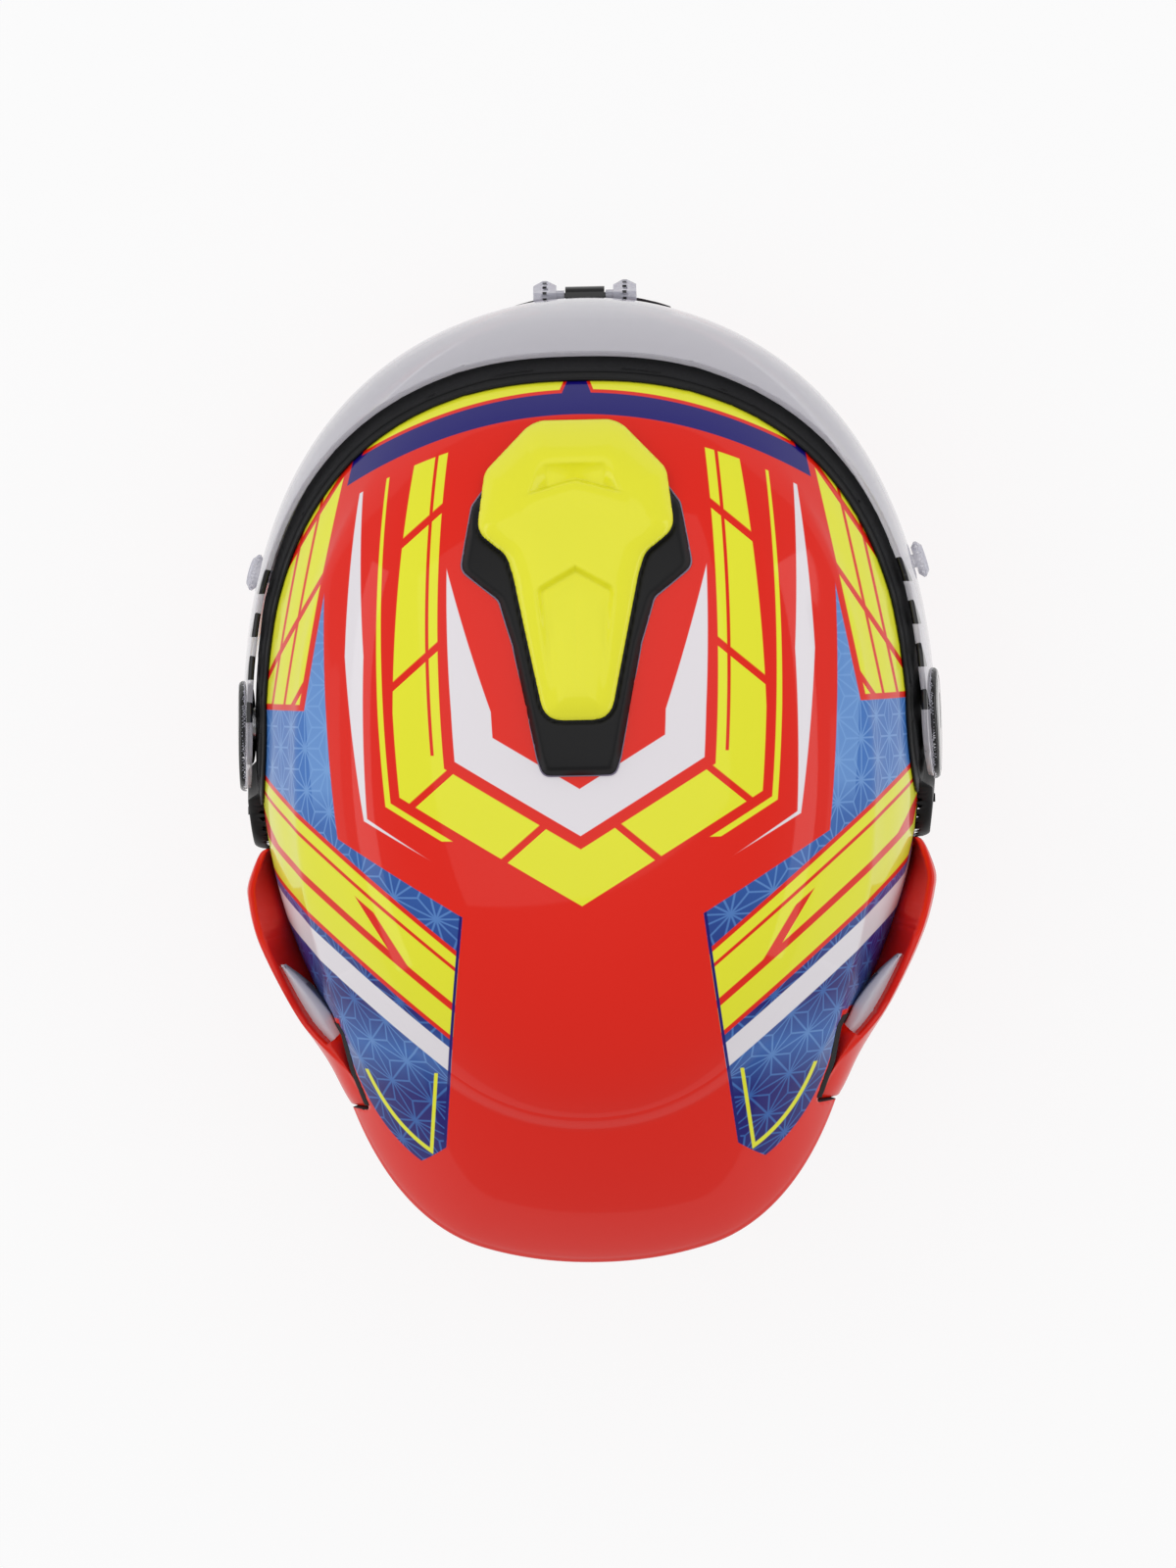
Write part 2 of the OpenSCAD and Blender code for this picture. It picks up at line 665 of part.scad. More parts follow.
// Red fins: how far the wall stands out from the shell at each reach
fin_duct_end = -117;
fin_mid_z = 140;
fin_rows = [for (p = [[-48, 4.1], [-53, 7.4], [-60, 10.9], [-66, 11.6], [-75, 11.7], [-84, 11.3],
                      [-94.5, 10.8], [-104.6, 10.6], [fin_duct_end, 10.5], [fin_duct_end - 0.6, 10.6],
                      [-127, 12.4], [-139, 18.1]])
                [p[0], wide_at(p[0], fin_mid_z) + p[1]]];
fin_inner = [for (p = [[-44, -21.5], [-75, -14], [-99, -4], [-112, -4.5], [-139.4, 10.6]])
                 [wide_at(p[0], fin_mid_z) + p[1], mid_reach - p[0]]];
fin_low_z = 104;
fin_top_z = 182;
fin_zs = [0, 0.08, 0.2, 0.36, 0.6, 0.84, 0.95, 1];
function fin_z(reach, t) =
    mix(fin_low_z + 26 * (1 - ease((-46 - reach) / 32)), fin_top_z - 34 * (1 - ease((-46 - reach) / 36)), t);
function fin_out(reach, half, t) =
    mix(wide_at(reach, fin_z(reach, t)) + 1, half,
        mix(0.25, 1, ease(t / 0.36)) - 0.2 * ease((t - 0.86) / 0.14));
module fin_zone(grow = 0) {
    linear_extrude(fin_top_z + grow) offset(delta = grow)
        polygon([each fin_inner, [shell_w, mid_reach + 139.4], [shell_w, mid_reach + 44]]);
}
module rear_fin() {
    color([0.87, 0.17, 0.13]) skin() difference() {
        intersection() {
            between(
                [for (p = fin_rows) [for (t = fin_zs)
                    place(fin_out(p[0], p[1], t), p[0], fin_z(p[0], t))]],
                [for (p = fin_rows) [for (t = fin_zs)
                    let(z = fin_z(p[0], t),
                        solid = t < 0.1 || p[0] > -52 || p[0] < fin_duct_end)
                    place(solid ? wide_at(p[0], z) - 12 : fin_out(p[0], p[1], t) - fin_t, p[0], z)]]);
            fin_zone();
        }
        form(seat, 60);
    }
}
module duct_vane() {
    rs = [-87, -93, -100, -107, -112, fin_duct_end + 0.4];
    color([0.93, 0.92, 0.95]) skin() difference() {
        between(
            [for (r = rs) [for (t = [0.36, 0.48, 0.6, 0.72]) let(z = fin_z(r, t))
                place(fin_out(r, fin_half(r), t) - fin_t - seat, r, z)]],
            [for (r = rs) [for (t = [0.36, 0.48, 0.6, 0.72]) let(z = fin_z(r, t))
                place(fin_out(r, fin_half(r), t) - fin_t - seat - mix(1, 14, (-87 - r) / 14), r, z)]]);
        form(seat, 60);
    }
}
function fin_half(reach) =
    let(k = [for (i = [0 : len(fin_rows) - 2])
                 if (reach <= fin_rows[i][0] && reach >= fin_rows[i + 1][0]) i][0],
        a = fin_rows[k], b = fin_rows[k + 1])
    mix(a[1], b[1], (a[0] - reach) / (a[0] - b[0]));

// Crash foam and comfort liner
foam_off = -shell_t - seat;
foam_in = foam_off - foam_t;
ear_z = 104;
neck_z = 52;
module foam_dome(r0, r1, x0 = -shell_w) {
    color([0.25, 0.25, 0.27]) skin() difference() {
        form(foam_off, -2, foam_n, foam_rows);
        form(foam_in, -4, pad_n, pad_rows);
        slab(-250, 0, -5, neck_z);
        side_cut() polygon([[200, -5], [200, port_top_z - 3], [150, port_top_z - 3], [90, port_top_z - 12],
                            [46, pivot_z + 17], [42, ear_z], [-48, ear_z], [-48, -5]]);
        both_sides() bar_x(11.4, 90, 140, 0, pivot_z);
        vent_ports(180);
        exhaust_ports();
        slab(-300, r0, -10, 300);
        slab(r1, 300, -10, 300);
        if (x0 > 0) slab(-300, 300, -10, 300, -shell_w, x0);
    }
}
foam_joint = -14;
module crown_foam() {
    foam_dome(foam_joint + seat / 2, 290);
}
module rear_foam() {
    foam_dome(-290, foam_joint - seat / 2, seat / 2);
}
module chin_foam() {
    color([0.25, 0.25, 0.27]) skin() difference() {
        intersection() {
            form(foam_off, -2, foam_n, foam_rows);
            slab(74, 200, 14, port_low_z - 3);
        }
        form(foam_off - 20, -4, foam_n, foam_rows);
        chin_ports();
    }
}
// The comfort liner is sewn from a crown piece and four round it
pad_top_z = shell_h - 68;
pad_seam = 1.2;
module liner_part(z0, z1, wedge) {
    color([0.17, 0.17, 0.19]) skin() difference() {
        form(foam_in - seat, -4, pad_n, pad_rows);
        form(foam_in - seat - pad_t, -6, pad_n, pad_rows);
        side_cut() polygon([[200, port_top_z - 6], [80, port_top_z - 14], [40, pivot_z + 14],
                            [36, ear_z + 2], [-200, ear_z + 2], [-200, -20], [200, -20]]);
        slab(-300, 300, -20, z0);
        slab(-300, 300, z1, 300);
        if (len(wedge) > 0) linear_extrude(300) difference() {
            square(600, center = true);
            translate([0, mid_reach - foam_joint]) polygon([[0, 0], each wedge]);
        }
    }
}
function spoke(a) = [400 * sin(a), -400 * cos(a)];
module crown_pad() {
    liner_part(pad_top_z + pad_seam / 2, 290, []);
}
module forehead_pad() {
    liner_part(50, pad_top_z - pad_seam / 2, [spoke(-51.5), spoke(51.5)]);
}
module nape_pad() {
    liner_part(50, pad_top_z - pad_seam / 2, [spoke(131.5), [0, 400], spoke(-131.5)]);
}
module temple_pad() {
    liner_part(50, pad_top_z - pad_seam / 2, [spoke(52.5), [400, 0], spoke(130.5)]);
}
module cheek_pad() {
    color([0.2, 0.2, 0.22]) skin() difference() {
        intersection() {
            form(foam_off, -2, foam_n, foam_rows);
            side_cut(20, 160) rounded(8)
                polygon([[73, trim_h + 1], [73, port_low_z - 4], [58, port_low_z + 10], [40, ear_z - seat],
                         [-47, ear_z - seat], [-47, 24], [-38, trim_h + 1]]);
        }
        form(foam_off - cheek_t, -4, foam_n, foam_rows);
        slab(strap_reach - strap_w / 2 - 2, strap_reach + strap_w / 2 + 2, 0, strap_z + 7);
        slab(strap_reach - strap_w / 2 - 2, strap_reach + strap_w / 2 + 2, 0, anchor_z + 14,
             anchor_x - 13, 160);
    }
}
module neck_roll() {
    color([0.15, 0.15, 0.17]) skin() difference() {
        intersection() {
            form(foam_off, -2, foam_n, foam_rows);
            slab(-220, -48, trim_h + 1, neck_z - seat);
        }
        form(foam_off - 28, -4, foam_n, foam_rows);
    }
}
module chin_curtain() {
    color([0.1, 0.1, 0.11]) skin() difference() {
        intersection() {
            form(-shell_t - trim_t - seat, -4, foam_n, foam_rows);
            slab(84, 200, trim_h - 3, trim_h);
        }
        translate(place(0, 60, 0)) scale([1, 0.6, 1]) cylinder(r = 62, h = 30, $fn = 48);
    }
}
module breath_deflector() {
    color([0.11, 0.11, 0.12]) skin() difference() {
        intersection() {
            form(foam_off - 20 - seat, -2, foam_n, foam_rows);
            side_cut(-46, 46) polygon([[60, port_low_z - 24], [200, port_low_z - 24], [200, port_low_z + 12],
                                       [60, port_low_z + 12]]);
        }
        form(foam_off - 22.4, -4, foam_n, foam_rows);
        slab(0, 88, 0, 200);
    }
}

// Chin strap: plates riveted inside the shell, webbing and two D-rings
strap_w = 24;
function strap_side(z) = wide_at(strap_reach + strap_w / 2 + 1, z, -shell_t) - seat;
strap_t = 2;
strap_reach = 18;
strap_z = 12.5;
anchor_z = 50;
anchor_t = 1.6;
anchor_x = strap_side(anchor_z - 10) - anchor_t;
rivet_r = 2.5;
ring_bend = 13;
ring_x = 20;
ring_z = [25, 17];
module rivet_hole(r) {
    bar_x(r, anchor_x - 8, half_w(anchor_z) - 1.2, strap_reach, anchor_z);
}
module strap_anchor() {
    color([0.6, 0.6, 0.62]) difference() {
        translate(place(anchor_x, strap_reach + strap_w / 2, anchor_z - 10)) cube([anchor_t, strap_w, 20]);
        rivet_hole(rivet_r + 0.1);
    }
}
module strap_rivet() {
    x0 = anchor_x - strap_t - 0.6;
    color([0.75, 0.75, 0.77]) union() {
        bar_x(5, x0 - 1.4, x0, strap_reach, anchor_z);
        bar_x(rivet_r, x0 - 0.2, half_w(anchor_z) - 1.6, strap_reach, anchor_z);
    }
}
// Flat webbing along places in the front view, each [x, z]
module webbing(points) {
    n = len(points);
    dirs = [for (k = [0 : n - 1]) unit(points[min(k + 1, n - 1)] - points[max(k - 1, 0)])];
    side = [for (k = [0 : n - 1]) [-dirs[k][1], dirs[k][0]] * strap_t / 2];
    polygon([for (k = [0 : n - 1]) points[k] + side[k], for (k = [n - 1 : -1 : 0]) points[k] - side[k]]);
}
strap_route = [[anchor_x - 1.3, anchor_z + 8], [anchor_x - 1.3, anchor_z - 10],
               [strap_side(24) - 3, 24], [strap_side(14) - 6, 15], [strap_side(14) - 15, strap_z],
               [70, strap_z], [50, 14], [36, 17]];
module across_strap() {
    translate(place(0, strap_reach - strap_w / 2, 0)) rotate([90, 0, 0]) linear_extrude(strap_w) children();
}
module strap_left() {
    color([0.12, 0.12, 0.13]) skin() difference() {
        across_strap() difference() {
            union() {
                webbing([each strap_route, [30, 19.5], [ring_x + 1.9, 21]]);
                for (z = ring_z) translate([ring_x, z]) circle(ring_wire / 2 + 2, $fn = 32);
                translate([ring_x, (ring_z[0] + ring_z[1]) / 2])
                    square([ring_wire + 4, ring_z[0] - ring_z[1]], center = true);
            }
            for (z = ring_z) translate([ring_x, z]) circle(ring_wire / 2 + run, $fn = 32);
        }
        rivet_hole(rivet_r + 0.1);
    }
}
module strap_right() {
    color([0.12, 0.12, 0.13]) mirror([1, 0, 0]) difference() {
        across_strap() webbing([each strap_route, [24, 14.5], [12, 9], [2, 6]]);
        rivet_hole(rivet_r + 0.1);
    }
}
module d_ring(k) {
    r = ring_wire / 2;
    half = strap_w / 2 + r + 0.6;
    color([0.72, 0.72, 0.74]) translate(place(ring_x, strap_reach, ring_z[k])) union() {
        rotate([90, 0, 0]) cylinder(r = r, h = 2 * half, center = true, $fn = 48);
        for (s = [-1, 1]) translate([0, s * half, 0]) sphere(r, $fn = 48);
        rotate([0, 0, 90]) rotate_extrude(angle = 180, $fn = 64) translate([half, 0]) circle(r, $fn = 32);
    }
}
module strap_snap() {
    color([0.5, 0.5, 0.52]) translate(place(-17.46, strap_reach, 12.93)) rotate([0, 24.6, 0])
        cylinder(r = 5, h = 1.6, $fn = 48);
}
module release_tab() {
    color([0.8, 0.1, 0.1]) difference() {
        translate(place(58, 70, trim_h + 1 - seat - 1.4)) cube([12, 22, 1.4]);
        translate(place(62, 66, 0)) cube([4, 10, 20]);
    }
}

outer_shell();
bottom_edge_trim();
eye_port_gasket();
visor_skin();
visor_hub();  // visor_hub_left
mirror([1, 0, 0]) visor_hub();  // visor_hub_right
tear_off_post();  // tear_off_post_left
mirror([1, 0, 0]) tear_off_post();  // tear_off_post_right
visor_lug();  // lock_lug_left
mirror([1, 0, 0]) visor_lug();  // lock_lug_right
visor_lock_bar();
lock_catch();
visor_side_plate();  // side_plate_left
mirror([1, 0, 0]) visor_side_plate();  // side_plate_right
pivot_post();  // pivot_post_left
mirror([1, 0, 0]) pivot_post();  // pivot_post_right
pivot_cap();  // pivot_cap_left
mirror([1, 0, 0]) pivot_cap();  // pivot_cap_right
visor_release();  // visor_release_left
mirror([1, 0, 0]) visor_release();  // visor_release_right
top_vent_base();
top_vent_cover();
chin_vent_housing();
chin_vent_shutter();
chin_vent_grille();
exhaust_grille();  // exhaust_grille_left
mirror([1, 0, 0]) exhaust_grille();  // exhaust_grille_right
rear_spoiler();
rear_fin();  // rear_fin_left
mirror([1, 0, 0]) rear_fin();  // rear_fin_right
duct_vane();  // duct_vane_left
mirror([1, 0, 0]) duct_vane();  // duct_vane_right
crown_foam();
rear_foam();  // rear_foam_left
mirror([1, 0, 0]) rear_foam();  // rear_foam_right
chin_foam();
crown_pad();
forehead_pad();
nape_pad();
temple_pad();  // temple_pad_left
mirror([1, 0, 0]) temple_pad();  // temple_pad_right
cheek_pad();  // cheek_pad_left
mirror([1, 0, 0]) cheek_pad();  // cheek_pad_right
neck_roll();
chin_curtain();
breath_deflector();
strap_anchor();  // strap_anchor_left
mirror([1, 0, 0]) strap_anchor();  // strap_anchor_right
strap_rivet();  // strap_rivet_left
mirror([1, 0, 0]) strap_rivet();  // strap_rivet_right
strap_left();
strap_right();
d_ring(0);  // d_ring_upper
d_ring(1);  // d_ring_lower
strap_snap();
release_tab();  // release_tab_left
mirror([1, 0, 0]) release_tab();  // release_tab_right
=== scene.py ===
"""Looks of the full face race helmet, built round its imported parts, in metres."""
import math

import bmesh
import bpy
import numpy as np
from mathutils import Matrix, Vector


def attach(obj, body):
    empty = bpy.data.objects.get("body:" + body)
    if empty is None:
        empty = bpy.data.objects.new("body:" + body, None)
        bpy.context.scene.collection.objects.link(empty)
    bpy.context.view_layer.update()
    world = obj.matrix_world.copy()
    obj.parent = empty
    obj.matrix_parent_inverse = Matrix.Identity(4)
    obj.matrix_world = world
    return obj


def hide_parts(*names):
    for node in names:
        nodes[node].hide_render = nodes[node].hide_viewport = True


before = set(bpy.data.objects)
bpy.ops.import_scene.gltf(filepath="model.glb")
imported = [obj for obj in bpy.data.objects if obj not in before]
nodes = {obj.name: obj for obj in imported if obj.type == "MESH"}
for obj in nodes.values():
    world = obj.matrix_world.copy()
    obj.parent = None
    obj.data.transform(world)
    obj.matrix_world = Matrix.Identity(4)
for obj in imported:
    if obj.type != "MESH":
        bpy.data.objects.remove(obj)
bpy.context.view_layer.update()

# Sizes in millimetres, as in the part's source
SHELL_H = 256
SHELL_W = 246
SHELL_T = 4
FACE_REACH = 151
NAPE_REACH = 166
CHIN_OUT = 5.5
RIM_W = 198
RIM_FRONT = 116
RIM_BACK = 108
RIM_Z = 2.4
PIVOT_Z = 142
VISOR_T = 2.2
VISOR_GAP = 3.8
VISOR_LOW = 74
VISOR_TOP = 198
ARM_R = 24
CENTRE_BACK = 8
CROWN_BACK = 18
SIDE_WIDE_Z = 105
FRONT_WIDE_Z = 75
REAR_WIDE_Z = 140
CHIN_TOP_Z = VISOR_LOW + 1
CHIN_STEP = 10
TUCK_ROUND = 2.4
REAR_P = 2.1
MID_REACH = -16.8012
SIDES = (1, "left"), (-1, "right")
TAIL_REACH = NAPE_REACH + 32
CROWN_ARC_R = 174.388
ARC_REACH = -3.37508
ARC_Z = 82.4049
DECK_R = CROWN_ARC_R + 3.4
SIDE_ARC_R = 204.99
COVER_T = 6


def clamp(v, lo=0.0, hi=1.0):
    return np.clip(v, lo, hi)


def ease(v):
    c = clamp(v)
    return c * c * (3 - 2 * c)


def mix(a, b, t):
    return a + (b - a) * t


def bell(v, wide):
    return np.exp(-(v / wide) ** 2)


# The helmet's form: every function takes numbers or arrays
def swell(z, wide_z, top, rim_share, round_p):
    """Share of the widest size that is left at height z."""
    above = clamp(1 - clamp((z - wide_z) / (top - wide_z)) ** round_p) ** (1 / round_p)
    tuck = (1 - rim_share ** TUCK_ROUND) * clamp((wide_z - z) / wide_z) ** TUCK_ROUND
    return np.where(z >= wide_z, above, (1 - tuck) ** (1 / TUCK_ROUND))


def half_w(z, off=0.0):
    w = SHELL_W / 2 + off
    return w * swell(z, SIDE_WIDE_Z, SHELL_H + off, (RIM_W / 2 + off) / w, 2.5)


def half_front(z, off=0.0):
    b = FACE_REACH + CENTRE_BACK + off
    share = (RIM_FRONT + CENTRE_BACK + off) / b
    chin = CHIN_OUT * ease((CHIN_TOP_Z - z) / CHIN_STEP)
    return b * swell(z, FRONT_WIDE_Z, SHELL_H + off, share, 2.65) + chin


def half_rear(z, off=0.0):
    b = NAPE_REACH - CENTRE_BACK + off
    return b * swell(z, REAR_WIDE_Z, SHELL_H + off, (RIM_BACK - CENTRE_BACK + off) / b, 2.4)


def centre(z):
    rise = clamp((z - SIDE_WIDE_Z) / (SHELL_H - SIDE_WIDE_Z))
    return -CENTRE_BACK - (CROWN_BACK - CENTRE_BACK) * rise ** 2


def front_p(z):
    return 2 + 0.45 * ease((z - 85) / 100)


def plan_point(a, z, off=0.0):
    """Width and reach of the form at plan angle a, in degrees from the front."""
    c, s = np.cos(np.radians(a)), np.sin(np.radians(a))
    p = np.where(c >= 0, front_p(z), REAR_P)
    b = np.where(c >= 0, half_front(z, off), half_rear(z, off))
    return np.sign(s) * half_w(z, off) * abs(s) ** (2 / p), centre(z) + np.sign(c) * b * abs(c) ** (2 / p)


def wide_at(reach, z, off=0.0):
    """Half width of the form at a reach and a height."""
    d = reach - centre(z)
    p = np.where(d >= 0, front_p(z), REAR_P)
    b = np.maximum(np.where(d >= 0, half_front(z, off), half_rear(z, off)), 1e-6)
    return half_w(z, off) * clamp(1 - clamp(abs(d) / b) ** p) ** (1 / p)


def rear_at(z):
    return half_rear(z) - centre(z)


def halve(lo, hi, steps, held):
    """The largest values between lo and hi for which held is true."""
    for _ in range(steps):
        m = (lo + hi) / 2
        yes = held(m)
        lo, hi = np.where(yes, m, lo), np.where(yes, hi, m)
    return lo


def top_at(x, reach):
    """Height of the form over a plan place."""
    lo = np.full(np.shape(x + reach), 110.0)
    return halve(lo, np.full(lo.shape, float(SHELL_H)), 18, lambda z: wide_at(reach, z) > abs(x))


def spline(points, steps):
    """Places on a smooth line through the points."""
    pts = np.array(points, float)
    ends = np.vstack([2 * pts[0] - pts[1], pts, 2 * pts[-1] - pts[-2]])
    t = np.linspace(0, 1, steps, endpoint=False)[:, None]
    line = [0.5 * (2 * b + (c - a) * t + (2 * a - 5 * b + 4 * c - d) * t ** 2
                   + (3 * b - a - 3 * c + d) * t ** 3)
            for a, b, c, d in zip(ends, ends[1:], ends[2:], ends[3:])]
    return np.vstack(line + [pts[-1:]])


def curve_through(points):
    """A smooth line as a function of the first number that gives the second."""
    line = spline(sorted(points), 10)
    return lambda v: np.interp(v, line[:, 0], line[:, 1])


def put(x, reach, z):
    """Places on the helmet in metres."""
    return np.stack(np.broadcast_arrays(x, MID_REACH - reach, z), axis=-1) / 1000


# Places of the visor's lock
LOCK_Z = VISOR_LOW + 5
LOCK_REACH = float(centre(LOCK_Z) + half_front(LOCK_Z, VISOR_GAP + VISOR_T)) + 1.2
LUG_MID = 15.15
LUG_TEETH = 16

# Outlines in side view, as reach and height
FILLET_STEPS = 5


def fillet(points, radius):
    """A closed outline with its corners rounded."""
    out = []
    count = len(points)
    for k, corner in enumerate(points):
        c = Vector(corner)
        a = Vector(points[k - 1]) - c
        b = Vector(points[(k + 1) % count]) - c
        turn = a.angle(b)
        cut = min(radius / max(math.tan(turn / 2), 1e-3), a.length * 0.45, b.length * 0.45)
        p, q = c + a.normalized() * cut, c + b.normalized() * cut
        for i in range(FILLET_STEPS + 1):
            t = i / FILLET_STEPS
            out.append(tuple(p * (1 - t) ** 2 + c * 2 * t * (1 - t) + q * t * t))
    return out


def distance(outline, reach, z):
    """Signed distance from points to a closed outline, negative inside."""
    pts = np.array(outline)
    nxt = np.roll(pts, -1, axis=0)
    best = np.full(reach.shape, 1e9)
    inside = np.zeros(reach.shape, bool)
    for a, b in zip(pts, nxt):
        e = b - a
        t = np.clip(((reach - a[0]) * e[0] + (z - a[1]) * e[1]) / max(e @ e, 1e-9), 0, 1)
        best = np.minimum(best, np.hypot(reach - a[0] - t * e[0], z - a[1] - t * e[1]))
        if a[1] != b[1]:
            cross = (a[1] > z) != (b[1] > z)
            inside ^= cross & (reach < a[0] + (z - a[1]) * e[0] / e[1])
    return np.where(inside, -best, best)


PORT_LOW = VISOR_LOW + 13
PORT_TOP = VISOR_TOP - 13
PORT = fillet([(190, PORT_LOW), (140, PORT_LOW + 1), (98, PORT_LOW + 7), (62, PORT_LOW + 17),
               (47, PORT_LOW + 26), (46, PIVOT_Z + 16), (80, PORT_TOP - 15), (120, PORT_TOP - 5),
               (190, PORT_TOP + 4)], 18)
VISOR_BODY = fillet([(190, VISOR_LOW), (126, VISOR_LOW + 2.5), (98, VISOR_LOW + 9), (62, VISOR_LOW + 22),
                     (30, PIVOT_Z - ARM_R - 5), (8, PIVOT_Z - ARM_R + 1.5), (0, PIVOT_Z),
                     (4, PIVOT_Z + ARM_R - 0.5), (45, VISOR_TOP - 28), (80, VISOR_TOP - 18),
                     (120, VISOR_TOP - 5), (190, VISOR_TOP + 4)], 60)
VISOR_END = [(ARM_R * math.cos(k), PIVOT_Z + ARM_R * math.sin(k)) for k in np.arange(64) * (math.pi / 32)]


def visor_field(reach, z):
    return np.minimum(distance(VISOR_BODY, reach, z), distance(VISOR_END, reach, z))


def plate_field(reach, z):
    """The pod under the visor's arm: a hull of three circles."""
    out = np.full(reach.shape, 1e9)
    discs = [(0, PIVOT_Z, ARM_R + 3), (32, PIVOT_Z + 5, 7), (-33, PIVOT_Z - 14, 14)]
    for i, (ax, az, ar) in enumerate(discs):
        for bx, bz, br in discs[i + 1:]:
            ex, ez = bx - ax, bz - az
            length = math.hypot(ex, ez)
            lean = (ar - br) / length
            t = ((reach - ax) * ex + (z - az) * ez) / length
            side = np.abs((reach - ax) * ez - (z - az) * ex) / length
            t = t + side * lean / math.sqrt(1 - lean * lean)
            t = np.clip(t / length, 0, 1)
            away = np.hypot(reach - ax - t * ex, z - az - t * ez)
            out = np.minimum(out, away - (ar + (br - ar) * t))
    return out


# Mesh helpers
def grid(nu, nv, spot, seam=False):
    """A sheet of nu by nv cells whose corners are moved to spot(u, v)."""
    bm = bmesh.new()
    bmesh.ops.create_grid(bm, x_segments=nu, y_segments=nv, size=0.5)
    uv = clamp(np.array([v.co[:2] for v in bm.verts]) + 0.5)
    move_to(bm.verts, spot(uv[:, 0], uv[:, 1]))
    if seam:
        bmesh.ops.remove_doubles(bm, verts=bm.verts, dist=2e-6)
    return bm


def whole(bm):
    return bm.verts[:] + bm.edges[:] + bm.faces[:]


def spots(verts):
    """Width, reach and height of corners, in millimetres."""
    x, y, z = np.array([v.co for v in verts]).T * 1000
    return x, MID_REACH - y, z


def move_to(verts, places):
    for v, place in zip(verts, places):
        v.co = place


def cut_away(bm, field, tidy=0.0004):
    """Cuts along field = 0, a function of width, reach and height, and drops what is negative."""
    value = dict(zip(bm.verts, field(*spots(bm.verts))))
    cut = []
    for e in list(bm.edges):
        a, b = e.verts
        fa, fb = value[a], value[b]
        if (fa < 0) != (fb < 0):
            _, v = bmesh.utils.edge_split(e, a, clamp(fa / (fa - fb), 0.03, 0.97))
            value[v] = 0.0
            cut.append(v)
    bmesh.ops.connect_verts(bm, verts=cut)
    gone = [f for f in bm.faces if any(value[v] < 0 for v in f.verts)]
    bmesh.ops.delete(bm, geom=gone, context="FACES")
    kept = [v for v in cut if v.is_valid]
    near = dict.fromkeys(v for k in kept for e in k.link_edges for v in e.verts)
    bmesh.ops.remove_doubles(bm, verts=list(near), dist=tidy)


def grow_edge(bm, move, chosen=None, edges=None):
    """Extrudes part of the open border and moves what is new, as width, reach and height."""
    if edges is None:
        edges = [e for e in bm.edges if e.is_boundary]
        if chosen:
            border = [v for v in bm.verts if v.is_boundary]
            picked = dict(zip(border, chosen(*spots(border))))
            edges = [e for e in edges if all(picked[v] for v in e.verts)]
    made = bmesh.ops.extrude_edge_only(bm, edges=edges)["geom"]
    verts = [g for g in made if isinstance(g, bmesh.types.BMVert)]
    move_to(verts, put(*move(*spots(verts))))
    return [g for g in made if isinstance(g, bmesh.types.BMEdge)]


def add(name, data):
    obj = bpy.data.objects.new(name, data)
    bpy.context.collection.objects.link(obj)
    return obj


def mesh_object(bm, name, *materials):
    mesh = bpy.data.meshes.new(name)
    bm.to_mesh(mesh)
    bm.free()
    for m in materials:
        mesh.materials.append(m)
    return add(name, mesh)


def piece(bm, name, material, slot, replaces=(), body="helmet", flip=False):
    """Turns a bmesh into a finished object that rides on a body."""
    if flip:
        bmesh.ops.reverse_faces(bm, faces=bm.faces)
    for f in bm.faces:
        f.smooth = True
    obj = mesh_object(bm, name, *(material if isinstance(material, list) else [material]))
    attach(obj, body)
    if replaces:
        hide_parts(*replaces)
    return obj


def modify(obj, kind, **settings):
    m = obj.modifiers.new(kind.lower(), kind)
    for key, value in settings.items():
        setattr(m, key, value)


def thicken(obj, mm, offset=-1, inner_material=0):
    modify(obj, "SOLIDIFY", thickness=mm / 1000, offset=offset, material_offset=inner_material,
           material_offset_rim=inner_material)


def soften(obj, mm, segments=2, angle=35):
    modify(obj, "BEVEL", width=mm / 1000, segments=segments, angle_limit=math.radians(angle),
           use_clamp_overlap=False)


# Materials
def rgb(r, g, b):
    """Linear colour of an sRGB one."""
    parts = (c / 255 for c in (r, g, b))
    return tuple(c / 12.92 if c <= 0.04 else ((c + 0.055) / 1.055) ** 2.4 for c in parts) + (1,)


RED = rgb(235, 32, 12)
YELLOW = rgb(240, 240, 50)
WHITE = rgb(238, 233, 238)
NAVY = rgb(20, 12, 114)
BLUE = rgb(60, 118, 196)
PALE_BLUE = rgb(126, 172, 230)
BLACK = rgb(22, 22, 25)


class Socket:
    """A value in a material that takes part in plain sums."""

    def __init__(self, shade, link):
        self.shade, self.link = shade, link

    def __abs__(self):
        return self.shade.sum("ABSOLUTE", self)


def operator(kind, swapped):
    def result(self, other):
        return self.shade.sum(kind, other, self) if swapped else self.shade.sum(kind, self, other)
    return result


for word, kind in (("add", "ADD"), ("sub", "SUBTRACT"), ("mul", "MULTIPLY"), ("truediv", "DIVIDE"),
                   ("pow", "POWER")):
    setattr(Socket, f"__{word}__", operator(kind, False))
    setattr(Socket, f"__r{word}__", operator(kind, True))


